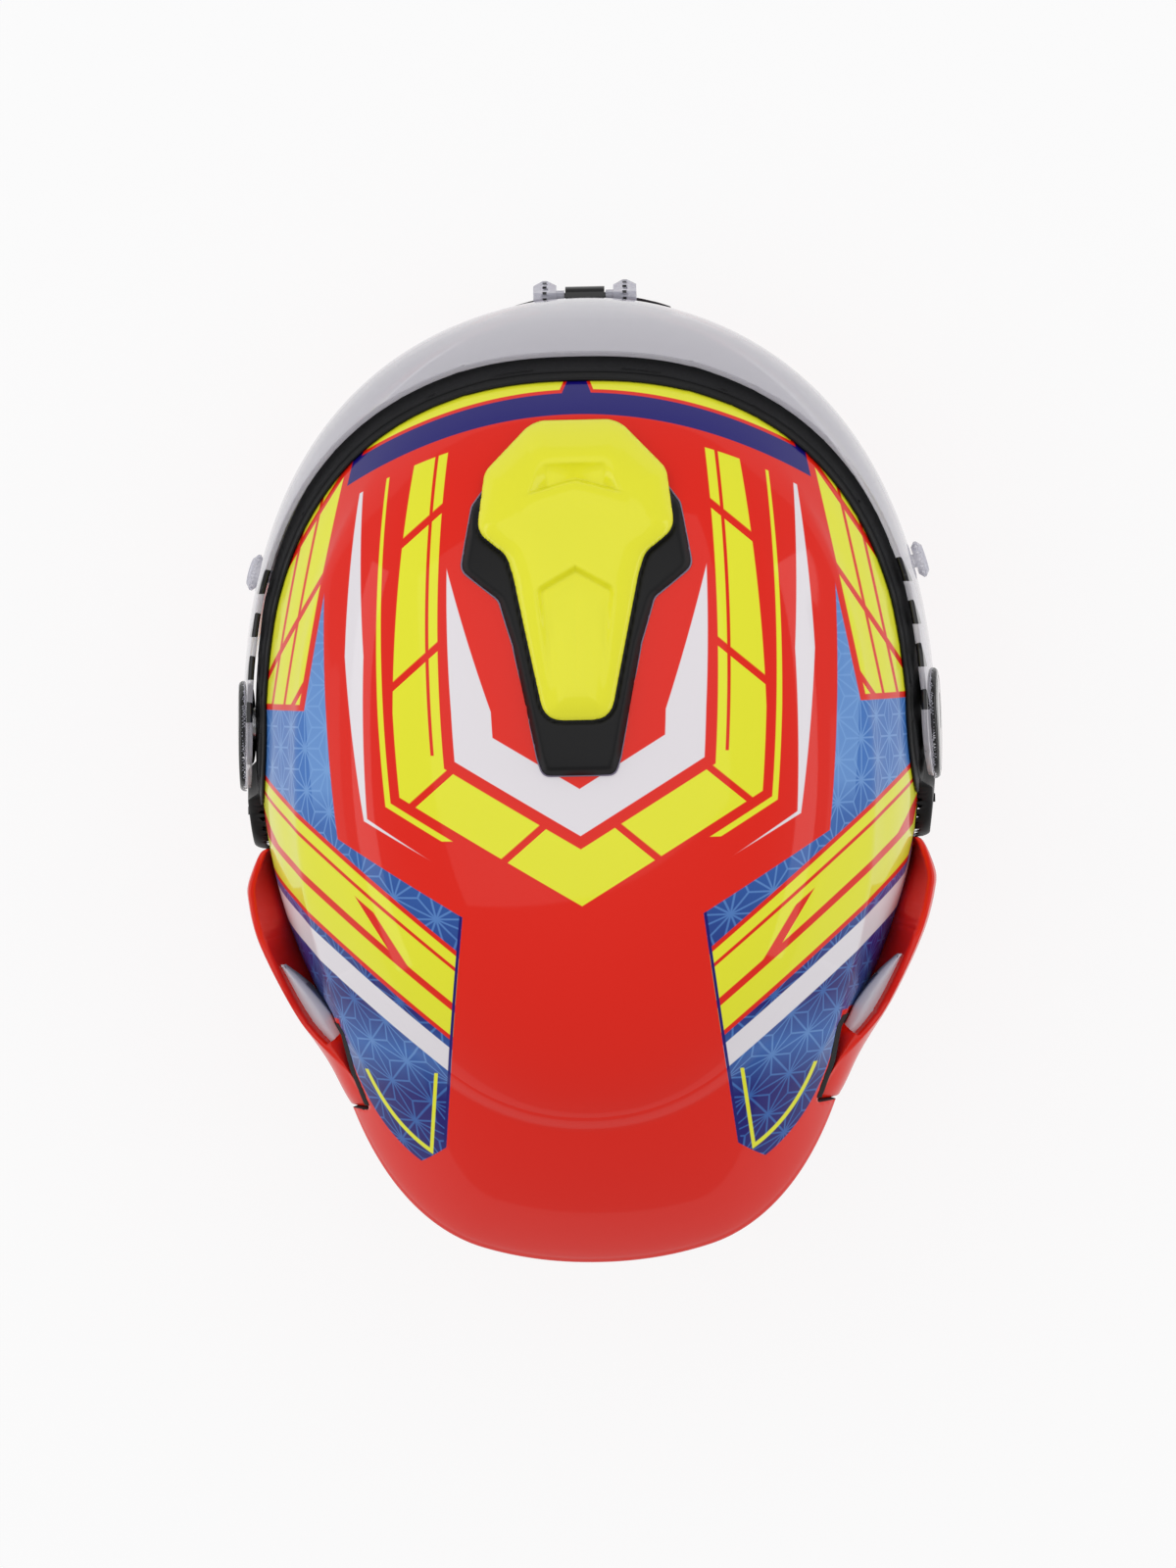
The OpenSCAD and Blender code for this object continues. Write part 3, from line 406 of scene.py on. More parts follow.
class Shade:
    """One material and the means to wire it."""

    def __init__(self, name):
        self.material = bpy.data.materials.new(name)
        self.material.use_nodes = True
        self.tree = self.material.node_tree
        self.surface = self.tree.nodes["Principled BSDF"]
        self.spot = None

    def feed(self, socket, value):
        if isinstance(value, Socket):
            self.tree.links.new(value.link, socket)
        else:
            socket.default_value = value

    def node(self, kind, settings=None, sockets=None, output=0):
        n = self.tree.nodes.new(kind)
        for key, value in (settings or {}).items():
            setattr(n, key, value)
        for key, value in (sockets or {}).items():
            self.feed(n.inputs[key], value)
        return Socket(self, n.outputs[output])

    def sum(self, operation, *values):
        return self.node("ShaderNodeMath", {"operation": operation}, dict(enumerate(values)))

    def set(self, **inputs):
        for key, value in inputs.items():
            self.feed(self.surface.inputs[key.replace("_", " ")], value)
        return self

    def place(self):
        """Width, reach and height in millimetres."""
        if self.spot is None:
            where = self.node("ShaderNodeTexCoord", output=3)
            n = self.tree.nodes.new("ShaderNodeSeparateXYZ")
            self.tree.links.new(where.link, n.inputs[0])
            x, y, z = (Socket(self, out) for out in n.outputs)
            self.spot = (x * 1000, MID_REACH - y * 1000, z * 1000)
            self.where = where
        return self.spot

    def noise(self, scale, detail=2.0):
        self.place()
        return self.node("ShaderNodeTexNoise", None, {"Vector": self.where, "Scale": scale, "Detail": detail})

    def blend(self, mask, a, b):
        """Colour a where mask is 0 and b where it is 1."""
        return self.node("ShaderNodeMix", {"data_type": "RGBA"}, {0: mask, 6: a, 7: b}, output=2)

    def bump(self, height, strength, distance_mm):
        return self.node("ShaderNodeBump", None, {"Height": height, "Strength": strength,
                                                  "Distance": distance_mm / 1000})

    def clip(self, value):
        return self.node("ShaderNodeClamp", None, {0: value})

    def under(self, value, edge, soft=0.3):
        """1 where value lies below edge."""
        return self.clip((edge - value) / soft + 0.5)

    def within(self, value, lo, hi, soft=0.3):
        return self.under(lo, value, soft) * self.under(value, hi, soft)

    def smaller(self, a, b):
        return self.sum("MINIMUM", a, b)

    def larger(self, a, b):
        return self.sum("MAXIMUM", a, b)

    def fraction(self, value):
        return self.sum("FRACT", value)


def hemp_leaf(s, u, v, size, line):
    """Lines of the traditional hemp leaf pattern: triangles with spokes to their corners."""
    p = v * (2 / (math.sqrt(3) * size))
    q = u / size - p * 0.5
    fq, fp = s.fraction(q + 200), s.fraction(p + 200)
    over = s.sum("GREATER_THAN", fq + fp, 1.0)
    b0 = fq + over * (1 - 2 * fq)
    b1 = fp + over * (1 - 2 * fp)
    b2 = abs(1 - fq - fp)
    lo = s.smaller(s.smaller(b0, b1), b2)
    hi = s.larger(s.larger(b0, b1), b2)
    rise = size * math.sqrt(3) / 2
    edges = s.under(lo * rise, line)
    spokes = s.under((1 - lo - hi - lo) * (rise * 0.577), line)
    return s.larger(edges, spokes)


def gloss_paint(s, colour):
    fleck = s.noise(900, 2)
    s.set(Base_Color=colour, Roughness=0.4, Specular_IOR_Level=0.1, Coat_Weight=0.45, Coat_Roughness=0.05)
    return s.set(Normal=s.bump(fleck, 0.05, 0.05)).material


def shell_artwork(name):
    """Painted shell: a shield of straight bands round the vent, bars on the quarters, patterned sides."""
    s = Shade(name)
    colour = RED

    def coat(mask, tone):
        nonlocal colour
        colour = s.blend(mask, colour, tone)

    x, reach, z = s.place()
    across = abs(x)
    low = s.larger(150 - z, 0.0)
    brow_edge = 108.5 - 0.0034 * across ** 2
    # distance out from the middle of the shield
    out = s.larger(across + 0.0008 * (reach - 30) ** 2, across * 0.52 + (14 - reach) * 0.854)
    ridge = 42 - 0.12 * (reach + 65)
    rim = (across / 95) ** 3 + (s.larger(-40 - reach, 0.0) / 132) ** 3
    corner = s.under(9, across - ridge + (1 - rim) * 42)
    rear_end = s.larger(s.under(rim, 1, 0.008) * s.under(150, z) * corner, s.under(-106, reach))
    side = s.under(91, out) * s.larger(s.under(ridge, across), s.under(-20, reach))
    side = side * rear_end * s.under(96, z)
    brow = s.under(brow_edge, reach) * s.under(150, z)
    # patterned field, blue in the middle of the sides and navy towards the ends
    wash = s.noise(14, 2)
    tone = s.clip(1.25 - abs(reach + 2) / 75 + (wash - 0.5) * 0.7)
    tone = s.larger(tone, s.within(reach - 0.15 * across, -134, -118, 16) * 0.75)
    field = s.blend(tone, NAVY, BLUE)
    leaf = hemp_leaf(s, reach, z - across * 0.45, 15.0, 0.32)
    field = s.blend(leaf * 0.7, field, s.blend(tone, BLUE, PALE_BLUE))
    strip = s.within(out, 91, 99) * s.within(reach, -28, 82, 12)
    field = s.blend(strip * 0.55, field, PALE_BLUE)
    coat(side, field)
    coat(brow, NAVY)
    # brow bars with red edges
    ahead_of_brow = reach - brow_edge
    brow_bar = s.smaller(2.4 - abs(ahead_of_brow - 12.4), 35 - abs(across + 0.4 * ahead_of_brow - 45))
    brow_bar = s.smaller(brow_bar, z - 150)
    coat(s.under(-1.3, brow_bar), RED)
    coat(s.under(0, brow_bar), YELLOW)
    coat(s.within(ahead_of_brow, -0.7, 0.7) * s.under(150, z), RED)
    # blades on the front sides
    blade = across - 101 + 0.2 * (reach - 7)
    sweep = reach - 0.35 * low
    front_blade = s.smaller(s.smaller(blade, sweep - 8), 94 - sweep)
    front_blade = s.smaller(front_blade, z - 96)
    cut = s.fraction((sweep + 1.5 * across) / 27 + 20)
    gaps = s.larger(s.under(cut, 0.11, 0.02), s.within(blade, 6.2, 7.2))
    gaps = s.larger(gaps, s.within(blade, 11.6, 12.6))
    coat(s.under(-2.2, front_blade), RED)
    coat(s.under(0, front_blade) * (1 - gaps), YELLOW)
    # bars over the rear quarters
    quarter = (reach - 0.6 * low + 33 + (101 - across) * 0.832) / 1.3
    bars = side * s.under(reach, -15)
    notch = s.under(s.fraction((reach - 1.6 * across) / 38 + 20), 0.14, 0.02)
    for lo, hi, tone, mask in ((-26.5, 0.8, RED, bars), (-15, -0.8, YELLOW, bars), (-5.4, -4.2, RED, bars),
                               (-16, -8, RED, bars * notch), (-25, -17.4, YELLOW, bars),
                               (-36.5, -29, WHITE, bars)):
        coat(mask * s.within(quarter, lo, hi), tone)
    # pinline at the foot of the rear panels
    panel = s.smaller((1 - rim) * 42, (across - ridge) * 0.97)
    pin = s.within(panel, 4.6, 5.9) * s.under(reach, -124) * s.under(160, z)
    coat(pin * side, YELLOW)
    coat(s.within(across - ridge, -0.2, 1.1) * side, NAVY)
    # bands of the shield, narrower towards the brow
    taper = s.larger(reach - 5, 0.0)
    ahead = s.under(reach, brow_edge - 5) * s.under(100, z)
    white = s.within(out, 31 + taper * 0.3, 45 + taper * 0.02) * ahead
    yellow = s.within(out, 49, 66 - taper * 0.06) * ahead
    slits = s.fraction((reach + 0.85 * across) / 47 + 20.55)
    slits = s.larger(s.under(slits, 0.07, 0.012), s.within(out, 52.2, 53.4) * s.under(-10, reach))
    yellow = yellow * (1 - slits)
    thin = s.within(out, 69.5, 71.5 - taper * 0.012) * ahead * s.under(-40, reach)
    narrowing = abs(reach - 25) * 0.05
    outer = s.within(out, 76 + narrowing, 83 - narrowing) * ahead
    for mask, tone in ((white, WHITE), (yellow, YELLOW), (thin, YELLOW), (outer, WHITE)):
        coat(mask, tone)
    # chin: a yellow bar with a navy edge on each side of the vent
    chin = z - 34 - 0.32 * across
    chin_side = s.under(44, across) * s.under(60, reach)
    coat(s.within(chin, -1.4, 11.4) * chin_side, NAVY)
    coat(s.within(chin, 0, 10) * chin_side, YELLOW)
    # low stripe round the neck
    coat(s.within(z - 0.05 * reach, 84, 90) * s.under(-100, reach, 2), WHITE)
    return gloss_paint(s, colour)


def plain_paint(name, colour):
    s = Shade(name)
    haze = s.noise(6, 2)
    return gloss_paint(s, s.blend(haze * 0.06, colour, rgb(255, 120, 90)))


def lighter(colour, times, plus):
    return tuple(min(c * times + plus, 1) for c in colour[:3]) + (1,)


def moulded(name, colour, rough=0.55, grain=2200, depth=0.05):
    """Moulded plastic with a fine grain."""
    s = Shade(name)
    fine = s.noise(grain, 3)
    tone = s.blend(s.noise(30, 2) * 0.6, colour, lighter(colour, 1.5, 0.006))
    return s.set(Base_Color=tone, Roughness=s.clip(rough + (fine - 0.5) * 0.2), Specular_IOR_Level=0.22,
                 Normal=s.bump(fine, 0.35, depth)).material


def polished(name, colour):
    s = Shade(name)
    return s.set(Base_Color=colour, Roughness=s.clip(s.noise(40, 3) * 0.08 + 0.12), Specular_IOR_Level=0.3,
                 Coat_Weight=0.5, Coat_Roughness=0.04).material


def clear_plastic(name, tint, alpha, marks=False):
    """Tinted clear plastic with the black teeth of the visor's edge, or else of the lugs' knurl."""
    s = Shade(name)
    haze = s.noise(12, 2)
    turned_away = s.node("ShaderNodeLayerWeight", None, {"Blend": 0.5}, 1)
    colour = s.blend(haze * 0.3, tint, rgb(226, 224, 232))
    # where the surface turns away from the camera the colour goes pale grey and the plastic less clear:
    # painted reflection
    colour = s.blend(turned_away ** 2 * 0.6, colour, rgb(166, 163, 175))
    cover = s.clip(alpha + turned_away * (0.95 - alpha) + (haze - 0.5) * 0.04)
    x, reach, z = s.place()
    if marks:
        edge = 165.5 + (reach - 4) * 0.11 + s.larger(reach - 45, 0.0) * 0.176
        step = s.fraction((reach - 1) / 15.6 + 20)
        mark = s.under(edge - z, 7.5 - 13 * step, 0.2) * s.under(step, 0.58, 0.02) * s.within(reach, 0.5, 57)
    else:
        turn = s.sum("ARCTAN2", z - LOCK_Z, reach - LOCK_REACH) * (LUG_TEETH / (2 * math.pi))
        on_lug = s.under(abs(abs(x) - LUG_MID), 0.8, 0.2)
        mark = s.under(abs(s.fraction(turn + 20) - 0.5), 0.24, 0.08) * on_lug
    return s.set(Base_Color=s.blend(mark, colour, BLACK), Roughness=0.08, Specular_IOR_Level=0.3,
                 Coat_Weight=0.35, Coat_Roughness=0.02, Alpha=s.clip(cover + mark)).material


def metal(name, colour=(0.56, 0.56, 0.58, 1), rough=0.3):
    s = Shade(name)
    brushed = s.noise(1500, 3)
    return s.set(Base_Color=colour, Metallic=1.0, Roughness=s.clip(rough + (brushed - 0.5) * 0.25),
                 Normal=s.bump(brushed, 0.15, 0.03)).material


def cloth(name, colour, size=1.1):
    """Knitted lining with a fine weave."""
    s = Shade(name)
    x, reach, z = s.place()
    warp = s.sum("SINE", (x + z * 0.6) * (2 * math.pi / size))
    weft = s.sum("SINE", (reach + z * 0.8) * (2 * math.pi / size))
    weave = warp * weft * 0.5 + 0.5
    tone = s.blend(weave * s.noise(60, 3), colour, lighter(colour, 2.2, 0.01))
    return s.set(Base_Color=tone, Roughness=0.92, Normal=s.bump(weave, 0.5, 0.25)).material


ART = shell_artwork("shell_art")
RED_PAINT = plain_paint("red_gloss", RED)
YELLOW_PAINT = plain_paint("yellow_gloss", YELLOW)
MATT_BLACK = moulded("matt_black", rgb(34, 34, 38), 0.6)
SATIN_BLACK = moulded("satin_black", rgb(13, 13, 15), 0.42)
# pale grey of the bead on the black vent base's edge: a painted highlight
RIM_HIGHLIGHT = moulded("rim_painted_highlight", rgb(120, 112, 132), 0.4)
GLOSS_BLACK = polished("gloss_black", rgb(14, 14, 16))
DARK_STRIP = moulded("dark_strip", rgb(7, 7, 8), 0.5)
RUBBER = moulded("soft_rubber", rgb(28, 28, 30), 0.75, 900, 0.08)
CLEAR = clear_plastic("visor_clear", rgb(222, 219, 227), 0.32, True)
CLEAR_LUG = clear_plastic("lug_clear", rgb(214, 214, 228), 0.4)
WHITE_PLASTIC = clear_plastic("milky_white", rgb(236, 232, 240), 0.85)
FOAM = moulded("crash_foam", rgb(40, 40, 44), 0.85, 260, 0.4)
LINING = cloth("lining", rgb(34, 34, 38))
PIPING = cloth("piping", rgb(70, 70, 76), 0.8)
WEBBING = cloth("webbing", rgb(18, 18, 20), 0.9)
RED_WEB = cloth("red_webbing", rgb(190, 30, 26), 0.9)
STEEL = metal("steel")
ALUMINIUM = metal("aluminium", (0.7, 0.7, 0.72, 1), 0.25)
INNER = moulded("shell_inside", rgb(30, 30, 33), 0.7, 700, 0.1)

# What each node wears, by the start of its name
finishes = [
    (MATT_BLACK, "visor_hub lock_catch side_plate visor_release chin_vent exhaust_grille top_vent_base"),
    (CLEAR_LUG, "tear_off_post lock_lug"),
    (GLOSS_BLACK, "visor_lock_bar pivot_cap"),
    (ALUMINIUM, "pivot_post"),
    (WHITE_PLASTIC, "duct_vane"),
    (FOAM, "crown_foam rear_foam chin_foam"),
    (LINING, "crown_pad forehead_pad nape_pad temple_pad cheek_pad neck_roll chin_curtain"),
    (RUBBER, "breath_deflector bottom_edge_trim eye_port_gasket"),
    (STEEL, "strap_anchor strap_rivet strap_snap d_ring"),
    (WEBBING, "strap"),
    (RED_WEB, "release_tab"),
    (RED_PAINT, "rear_spoiler rear_fin outer_shell"),
    (YELLOW_PAINT, "top_vent_cover"),
    (CLEAR, "visor_skin"),
]
node_finish = {start: finish for finish, starts in finishes for start in starts.split()}
for node_name, node_obj in nodes.items():
    key = max((k for k in node_finish if node_name.startswith(k)), key=len)
    node_obj.data.materials.clear()
    node_obj.data.materials.append(node_finish[key])


# Stage, light and camera
CAMERA_TURNS = 1.8, 2.0, 1.15
CAMERA_TARGET = 0.001, 0.0082, 0.13
CAMERA_AWAY = 2.008
CAMERA_HIGH = 2.0
SENSOR = 36
IMAGE_H = 1600
METRES_PER_PIXEL = 0.3622e-3


def make_stage():
    bm = bmesh.new()
    bmesh.ops.create_grid(bm, x_segments=1, y_segments=1, size=6)
    s = Shade("floor_white")
    paths = s.tree.nodes.new("ShaderNodeLightPath").outputs
    kinds = "Camera", "Glossy", "Transmission"
    camera, gloss, through = (Socket(s, paths[f"Is {kind} Ray"]) for kind in kinds)
    seen = s.larger(s.larger(camera, gloss), through)
    glow = s.node("ShaderNodeEmission", None, {"Color": (1, 1, 1, 1), "Strength": 1.0})
    s.set(Base_Color=rgb(242, 242, 244), Roughness=0.9, Specular_IOR_Level=0.1)
    both = s.node("ShaderNodeMixShader", None, {0: seen * 0.85, 1: Socket(s, s.surface.outputs[0]), 2: glow})
    s.tree.links.new(both.link, s.tree.nodes["Material Output"].inputs[0])
    mesh_object(bm, "floor", s.material)
    world = bpy.data.worlds.new("studio")
    bpy.context.scene.world = world
    world.use_nodes = True
    back = world.node_tree.nodes["Background"]
    back.inputs[0].default_value = (1, 1, 1, 1)
    back.inputs[1].default_value = 0.5


def lamp(name, spot, target, size, power):
    light = bpy.data.lights.new(name, "AREA")
    light.shape = "RECTANGLE"
    light.size, light.size_y = size
    light.energy = power
    obj = add(name, light)
    obj.location = spot
    obj.rotation_euler = (Vector(target) - Vector(spot)).to_track_quat("-Z", "Y").to_euler()


def make_camera():
    """Almost straight above, a little towards the front and the image's right, with the front upwards."""
    lean, pitch, roll = (math.radians(a) for a in CAMERA_TURNS)
    target = Vector(CAMERA_TARGET)
    back = Vector((-math.sin(lean), -math.sin(pitch), math.cos(lean))).normalized()
    up = Vector((-math.sin(roll), -math.cos(roll), 0))
    right = up.cross(back).normalized()
    up = back.cross(right)
    data = bpy.data.cameras.new("camera")
    data.sensor_width = SENSOR
    data.lens = SENSOR * CAMERA_HIGH / (IMAGE_H * METRES_PER_PIXEL)
    data.clip_start, data.clip_end = 0.05, 50
    obj = add("camera", data)
    turn = Matrix((right, up, back)).transposed().to_4x4()
    obj.matrix_world = Matrix.Translation(target + back * CAMERA_AWAY) @ turn
    bpy.context.scene.camera = obj


make_camera()
make_stage()
bpy.context.scene.view_settings.view_transform = "Standard"
lamp("overhead", (0.15, -0.7, 2.35), (0, 0, 0.1), (4.2, 3.2), 32)
lamp("side_left", (1.5, 0.05, 0.5), (0, 0.05, 0.15), (1.8, 0.3), 3)
lamp("side_right", (-1.5, 0.05, 0.5), (0, 0.05, 0.15), (1.8, 0.3), 3)


# Shell, with its openings under the top vent and at the rear
TOP_PORT_X = 10
TOP_PORT_R = 4.5
EXHAUST_ANGLE = 148.0
EXHAUST_Z = 78.0
EXHAUST_HALF = 13
EXHAUST_R = 6
EXHAUST_DEEP = 26
EXHAUST_LEAN = math.radians(32)


def crease(x, reach, z):
    """Stand-out of the soft ridge where the crown turns into the side."""
    away = abs(reach + 25)
    edge = 101.5 - 0.0016 * away ** 2 - 0.0000055 * away ** 3
    along = ease((100 - reach) / 50) * ease((reach + 138) / 30)
    d = abs(x) - edge
    return 1.6 * ease((z - 112) / 12) * along * clamp(1 - abs(d) / np.where(d > 0, 7, 12)) ** 1.6


def form_sheet(off, heights, a0=-180, a1=180, nu=240, ridge=True):
    """A sheet of the helmet's form, off outside the shell's face; off may follow the angle and height."""
    heights = np.asarray(heights)
    last = len(heights) - 1

    def spot(u, v):
        z = heights[np.rint(v * last).astype(int)]
        a = mix(a0, a1, u)
        away = off(a, z) if callable(off) else off
        x, reach = plan_point(a, z, away)
        if ridge:
            x, reach = plan_point(a, z, away + crease(x, reach, z))
        return put(x, reach, z)

    return grid(nu, last, spot, seam=True)


def make_shell():
    join = CHIN_TOP_Z + 12
    rise = np.sin(np.pi / 2 * np.arange(85) / 84)
    low = np.linspace(RIM_Z, join, 40, endpoint=False)
    bm = form_sheet(0, np.concatenate([low, join + (SHELL_H - join) * rise]))
    cut_away(bm, lambda x, reach, z: distance(PORT, reach, z))
    for s in (-1, 1):
        def port(x, reach, z):
            along = np.clip(reach, 44, 56)
            return np.where(z > 200, np.hypot(x - s * TOP_PORT_X, reach - along) - TOP_PORT_R, 10)
        cut_away(bm, port)
    ex, er = plan_point(EXHAUST_ANGLE, EXHAUST_Z)

    def exhaust(x, reach, z):
        c, w = math.cos(EXHAUST_LEAN), math.sin(EXHAUST_LEAN)
        along = (abs(x) - ex) * c - (reach - er) * w
        skew = (abs(x) - ex) * w + (reach - er) * c
        slot = np.hypot(np.maximum(abs(along) - EXHAUST_HALF, 0), z - EXHAUST_Z) - EXHAUST_R
        return np.where(reach < -70, np.maximum(slot, abs(skew) - EXHAUST_DEEP), 9)

    cut_away(bm, exhaust)
    obj = piece(bm, "shell", [ART, INNER], "shell_paint", ["outer_shell"])
    thicken(obj, SHELL_T, inner_material=1)
    soften(obj, 0.7)


def make_visor():
    heights = [mix(VISOR_LOW - 3, VISOR_TOP + 6, k / 90) for k in range(91)]
    bm = form_sheet(VISOR_GAP + VISOR_T, heights, -125, 125, 260, ridge=False)
    cut_away(bm, lambda x, reach, z: -visor_field(reach, z))
    cut_away(bm, lambda x, reach, z: np.hypot(reach, z - PIVOT_Z) - 15.1)
    notch = fillet([(-21.5, 40), (-21.5, LOCK_Z + 9), (-9, LOCK_Z + 9), (-8, LOCK_Z + 5.5), (8, LOCK_Z + 5.5),
                    (9, LOCK_Z + 9), (21.5, LOCK_Z + 9), (21.5, 40)], 3)
    cut_away(bm, lambda x, reach, z: np.where(reach > 100, distance(notch, x, z), 10))
    obj = piece(bm, "visor", CLEAR, "clear", ["visor_skin"], "visor")
    thicken(obj, VISOR_T)
    soften(obj, 0.5)


def make_brow_seal():
    """Matt seal round the port, and the glossy strip that shows past the visor's top edge."""
    heights = [mix(70, 214, k / 100) for k in range(101)]

    def seal(x, reach, z):
        outer = np.maximum(visor_field(reach, z) - 3.6, -(z - PIVOT_Z - 4))
        outer = np.minimum(outer, distance(PORT, reach, z) - 7)
        kept = np.minimum(-outer, distance(PORT, reach, z) + 0.4)
        return np.minimum(kept, plate_field(reach, z) - 0.5)

    def strip(x, reach, z):
        outer = np.maximum(visor_field(reach, z) - 7.5, -(z - PIVOT_Z - 10))
        return np.minimum(-outer, distance(PORT, reach, z) - 2)

    for field, stand, wall, edge, *labels in (
            (seal, 2.0, 1.9, 0.7, "brow_seal", RUBBER, "rubber", ["eye_port_gasket"]),
            (strip, 1.3, 1.2, 0.5, "brow_strip", DARK_STRIP, "black_gloss")):
        bm = form_sheet(stand, heights, -120, 120, 300, ridge=False)
        cut_away(bm, field)
        obj = piece(bm, *labels)
        thicken(obj, wall)
        soften(obj, edge)


# Top vent
def mirrored(points):
    """A closed plan outline from its right-hand side, listed from front to back."""
    return points + [(-x, reach) for x, reach in reversed(points)]


COVER_EDGE = fillet(mirrored([(11.8, 107), (14.7, 106.1), (17.3, 104.5), (32, 89), (34.6, 67.8), (24.2, 59.6),
                              (21.8, 52), (11.4, 1.8)]), 8)
BASE_EDGE = fillet(mirrored([(10, 100), (30, 86), (36.6, 77), (40.6, 54.5), (27.2, 43.8), (22.4, 28),
                             (14.4, -12), (12.6, -17.6)]), 5)
COVER_EDGE_T = 1.5
COVER_STEP = 0.55
BASE_STEP = 0.9
SCOOP_FRONT = 91.5
SCOOP_LIP = 85.1
SCOOP_W = 16.3
RECESS_TIP = 56
RECESS_W = 12.8


def arc_height(x, reach, r):
    """Height of the vent's circle of radius r over the crown."""
    fall = SIDE_ARC_R - np.sqrt(SIDE_ARC_R ** 2 - x * x)
    return ARC_Z + np.sqrt((r - fall) ** 2 - (reach - ARC_REACH) ** 2)


def plan_sheet(half, front, back, step, height, bend=None):
    """A sheet over the crown between two reaches, at a height that follows the place."""
    nu, nv = 2 * round(half / step), round((front - back) / step)

    def spot(u, v):
        x, reach = mix(-half, half, u), mix(front, back, v)
        if bend:
            reach = reach - bend(x, reach)
        return put(x, reach, height(x, reach))

    return grid(nu, nv, spot)


def lip_bend(x):
    return 4.8 * clamp(abs(x) / SCOOP_W) ** 1.2


def recess_bend(x):
    return 7.3 * clamp(abs(x) / RECESS_W, 0, 1.2)


def cover_rise(x, reach):
    """Height of the sliding cover over its deck, with its air scoop and pointed recess."""
    w = abs(x)
    inside = -distance(COVER_EDGE, x, reach)
    rise = COVER_EDGE_T + (COVER_T - COVER_EDGE_T) * (1 - (1 - clamp(inside / 13)) ** 2.2)
    rise = rise - 0.6 * (1 - clamp(inside / 0.8)) ** 2
    lip = SCOOP_LIP - lip_bend(x)
    along = clamp((SCOOP_FRONT - reach) / (SCOOP_FRONT - lip))
    flank = 11.6 + (94 - reach) * 0.36
    scoop = 5.4 * along ** 0.75 * (1 - clamp((w - 10) / (flank - 10))) * ease((reach - lip) / 0.5)
    raised = bell(reach - lip + 3, 3.5) * (1 - clamp(w / 19) ** 4) * (reach < lip + 0.3)
    brow = bell(reach - SCOOP_FRONT - 3.5, 4) * (1 - clamp(w / 16) ** 4)
    tip = RECESS_TIP - recess_bend(x)
    side = 8.4 + (clamp(reach, 10, 60) - 12.7) * 0.1
    behind = tip - reach
    trough = 3.4 * (1 - ease(behind / 46)) * (1 - ease((w - side + 0.6) / 3)) * ease(behind / 3.2)
    return rise - scoop + 1.1 * raised + 0.8 * brow - trough


def make_vent():
    def bend(x, reach):
        return (lip_bend(x) * (1 - ease((abs(reach - SCOOP_LIP) - 2) / 14))
                + recess_bend(x) * (1 - ease((abs(reach - RECESS_TIP) - 2) / 16)))

    def cover_height(x, reach):
        return arc_height(x, reach, DECK_R + cover_rise(x, reach))

    bm = plan_sheet(35.2, 107.2, 1, COVER_STEP, cover_height, bend)
    cut_away(bm, lambda x, reach, z: -distance(COVER_EDGE, x, reach), 0.0002)
    grow_edge(bm, lambda x, reach, z: (x, reach, arc_height(x, reach, DECK_R + 0.4)))

    def under_rim(x, reach, z):
        inner = mix(reach, 50, 0.06)
        return x * 0.9, inner, arc_height(x * 0.9, inner, DECK_R + 0.5)

    grow_edge(bm, under_rim)
    piece(bm, "vent_cover", YELLOW_PAINT, "vent_paint", ["top_vent_cover"], "vent_cover")

    def base_height(x, reach):
        inside = -distance(BASE_EDGE, x, reach)
        groove = 1.1 * (1 - ease((abs(distance(COVER_EDGE, x, reach) - 0.5) - 0.3) / 0.9))
        shell = top_at(x, reach) + 0.2
        return mix(shell, arc_height(x, reach, DECK_R) - groove, ease((inside + 0.6) / 3.4))

    bm = plan_sheet(41, 101, -18.6, BASE_STEP, base_height)
    cut_away(bm, lambda x, reach, z: -distance(BASE_EDGE, x, reach))
    grow_edge(bm, lambda x, reach, z: (x, reach, z - 1.6))
    piece(bm, "vent_base", SATIN_BLACK, "black_plastic", ["top_vent_base"])
    # A pale bead swept round the outer edge of the black base: painted highlight of the edge's chamfer
    edge = np.array(BASE_EDGE)
    edge = edge[np.linalg.norm(np.diff(edge, axis=0, append=edge[:1]), axis=1) > 0.05]
    rim = np.column_stack([edge, top_at(edge[:, 0], edge[:, 1]) + 0.35])
    piece(sweep(rim, (0, 0, 1), 0.7, 0.7, True, 1.0, 8), "vent_rim_highlight", RIM_HIGHLIGHT, "black_plastic")


# Rear spoiler
TAIL_LOW = 122
TAIL_EDGE = 163
TAIL_T = 5
TAIL_TOP = 222


def tail_rear(z):
    """How far back the tail reaches at a height."""
    rise = clamp((z - TAIL_LOW) / (TAIL_EDGE - TAIL_LOW)) ** 1.6
    fall = clamp((z - TAIL_EDGE - TAIL_T) / (TAIL_TOP - TAIL_EDGE - TAIL_T)) ** 1.15
    low = mix(rear_at(TAIL_LOW) - 3, TAIL_REACH - 1.5, rise)
    high = mix(TAIL_REACH - 1.5, rear_at(TAIL_TOP) - 2, fall)
    edge = TAIL_REACH - 1.5 * clamp(abs(z - TAIL_EDGE - TAIL_T / 2) * 2 / TAIL_T) ** 2
    return np.where(z < TAIL_EDGE, low, np.where(z > TAIL_EDGE + TAIL_T, high, edge))


def tail_out(a, z):
    return clamp(tail_rear(z) - rear_at(z), 0, 99) * ease((62 - abs(a - 180)) / 47) * (z < TAIL_TOP)


def tail_skin(a, z):
    """How far the tail's skin stands out from the shell; its top and side edges dip into it."""
    return 0.15 + tail_out(a, z) - 1.2 * ease((z - TAIL_TOP + 3) / 5) - 1.6 * ease((abs(a - 180) - 57) / 5)


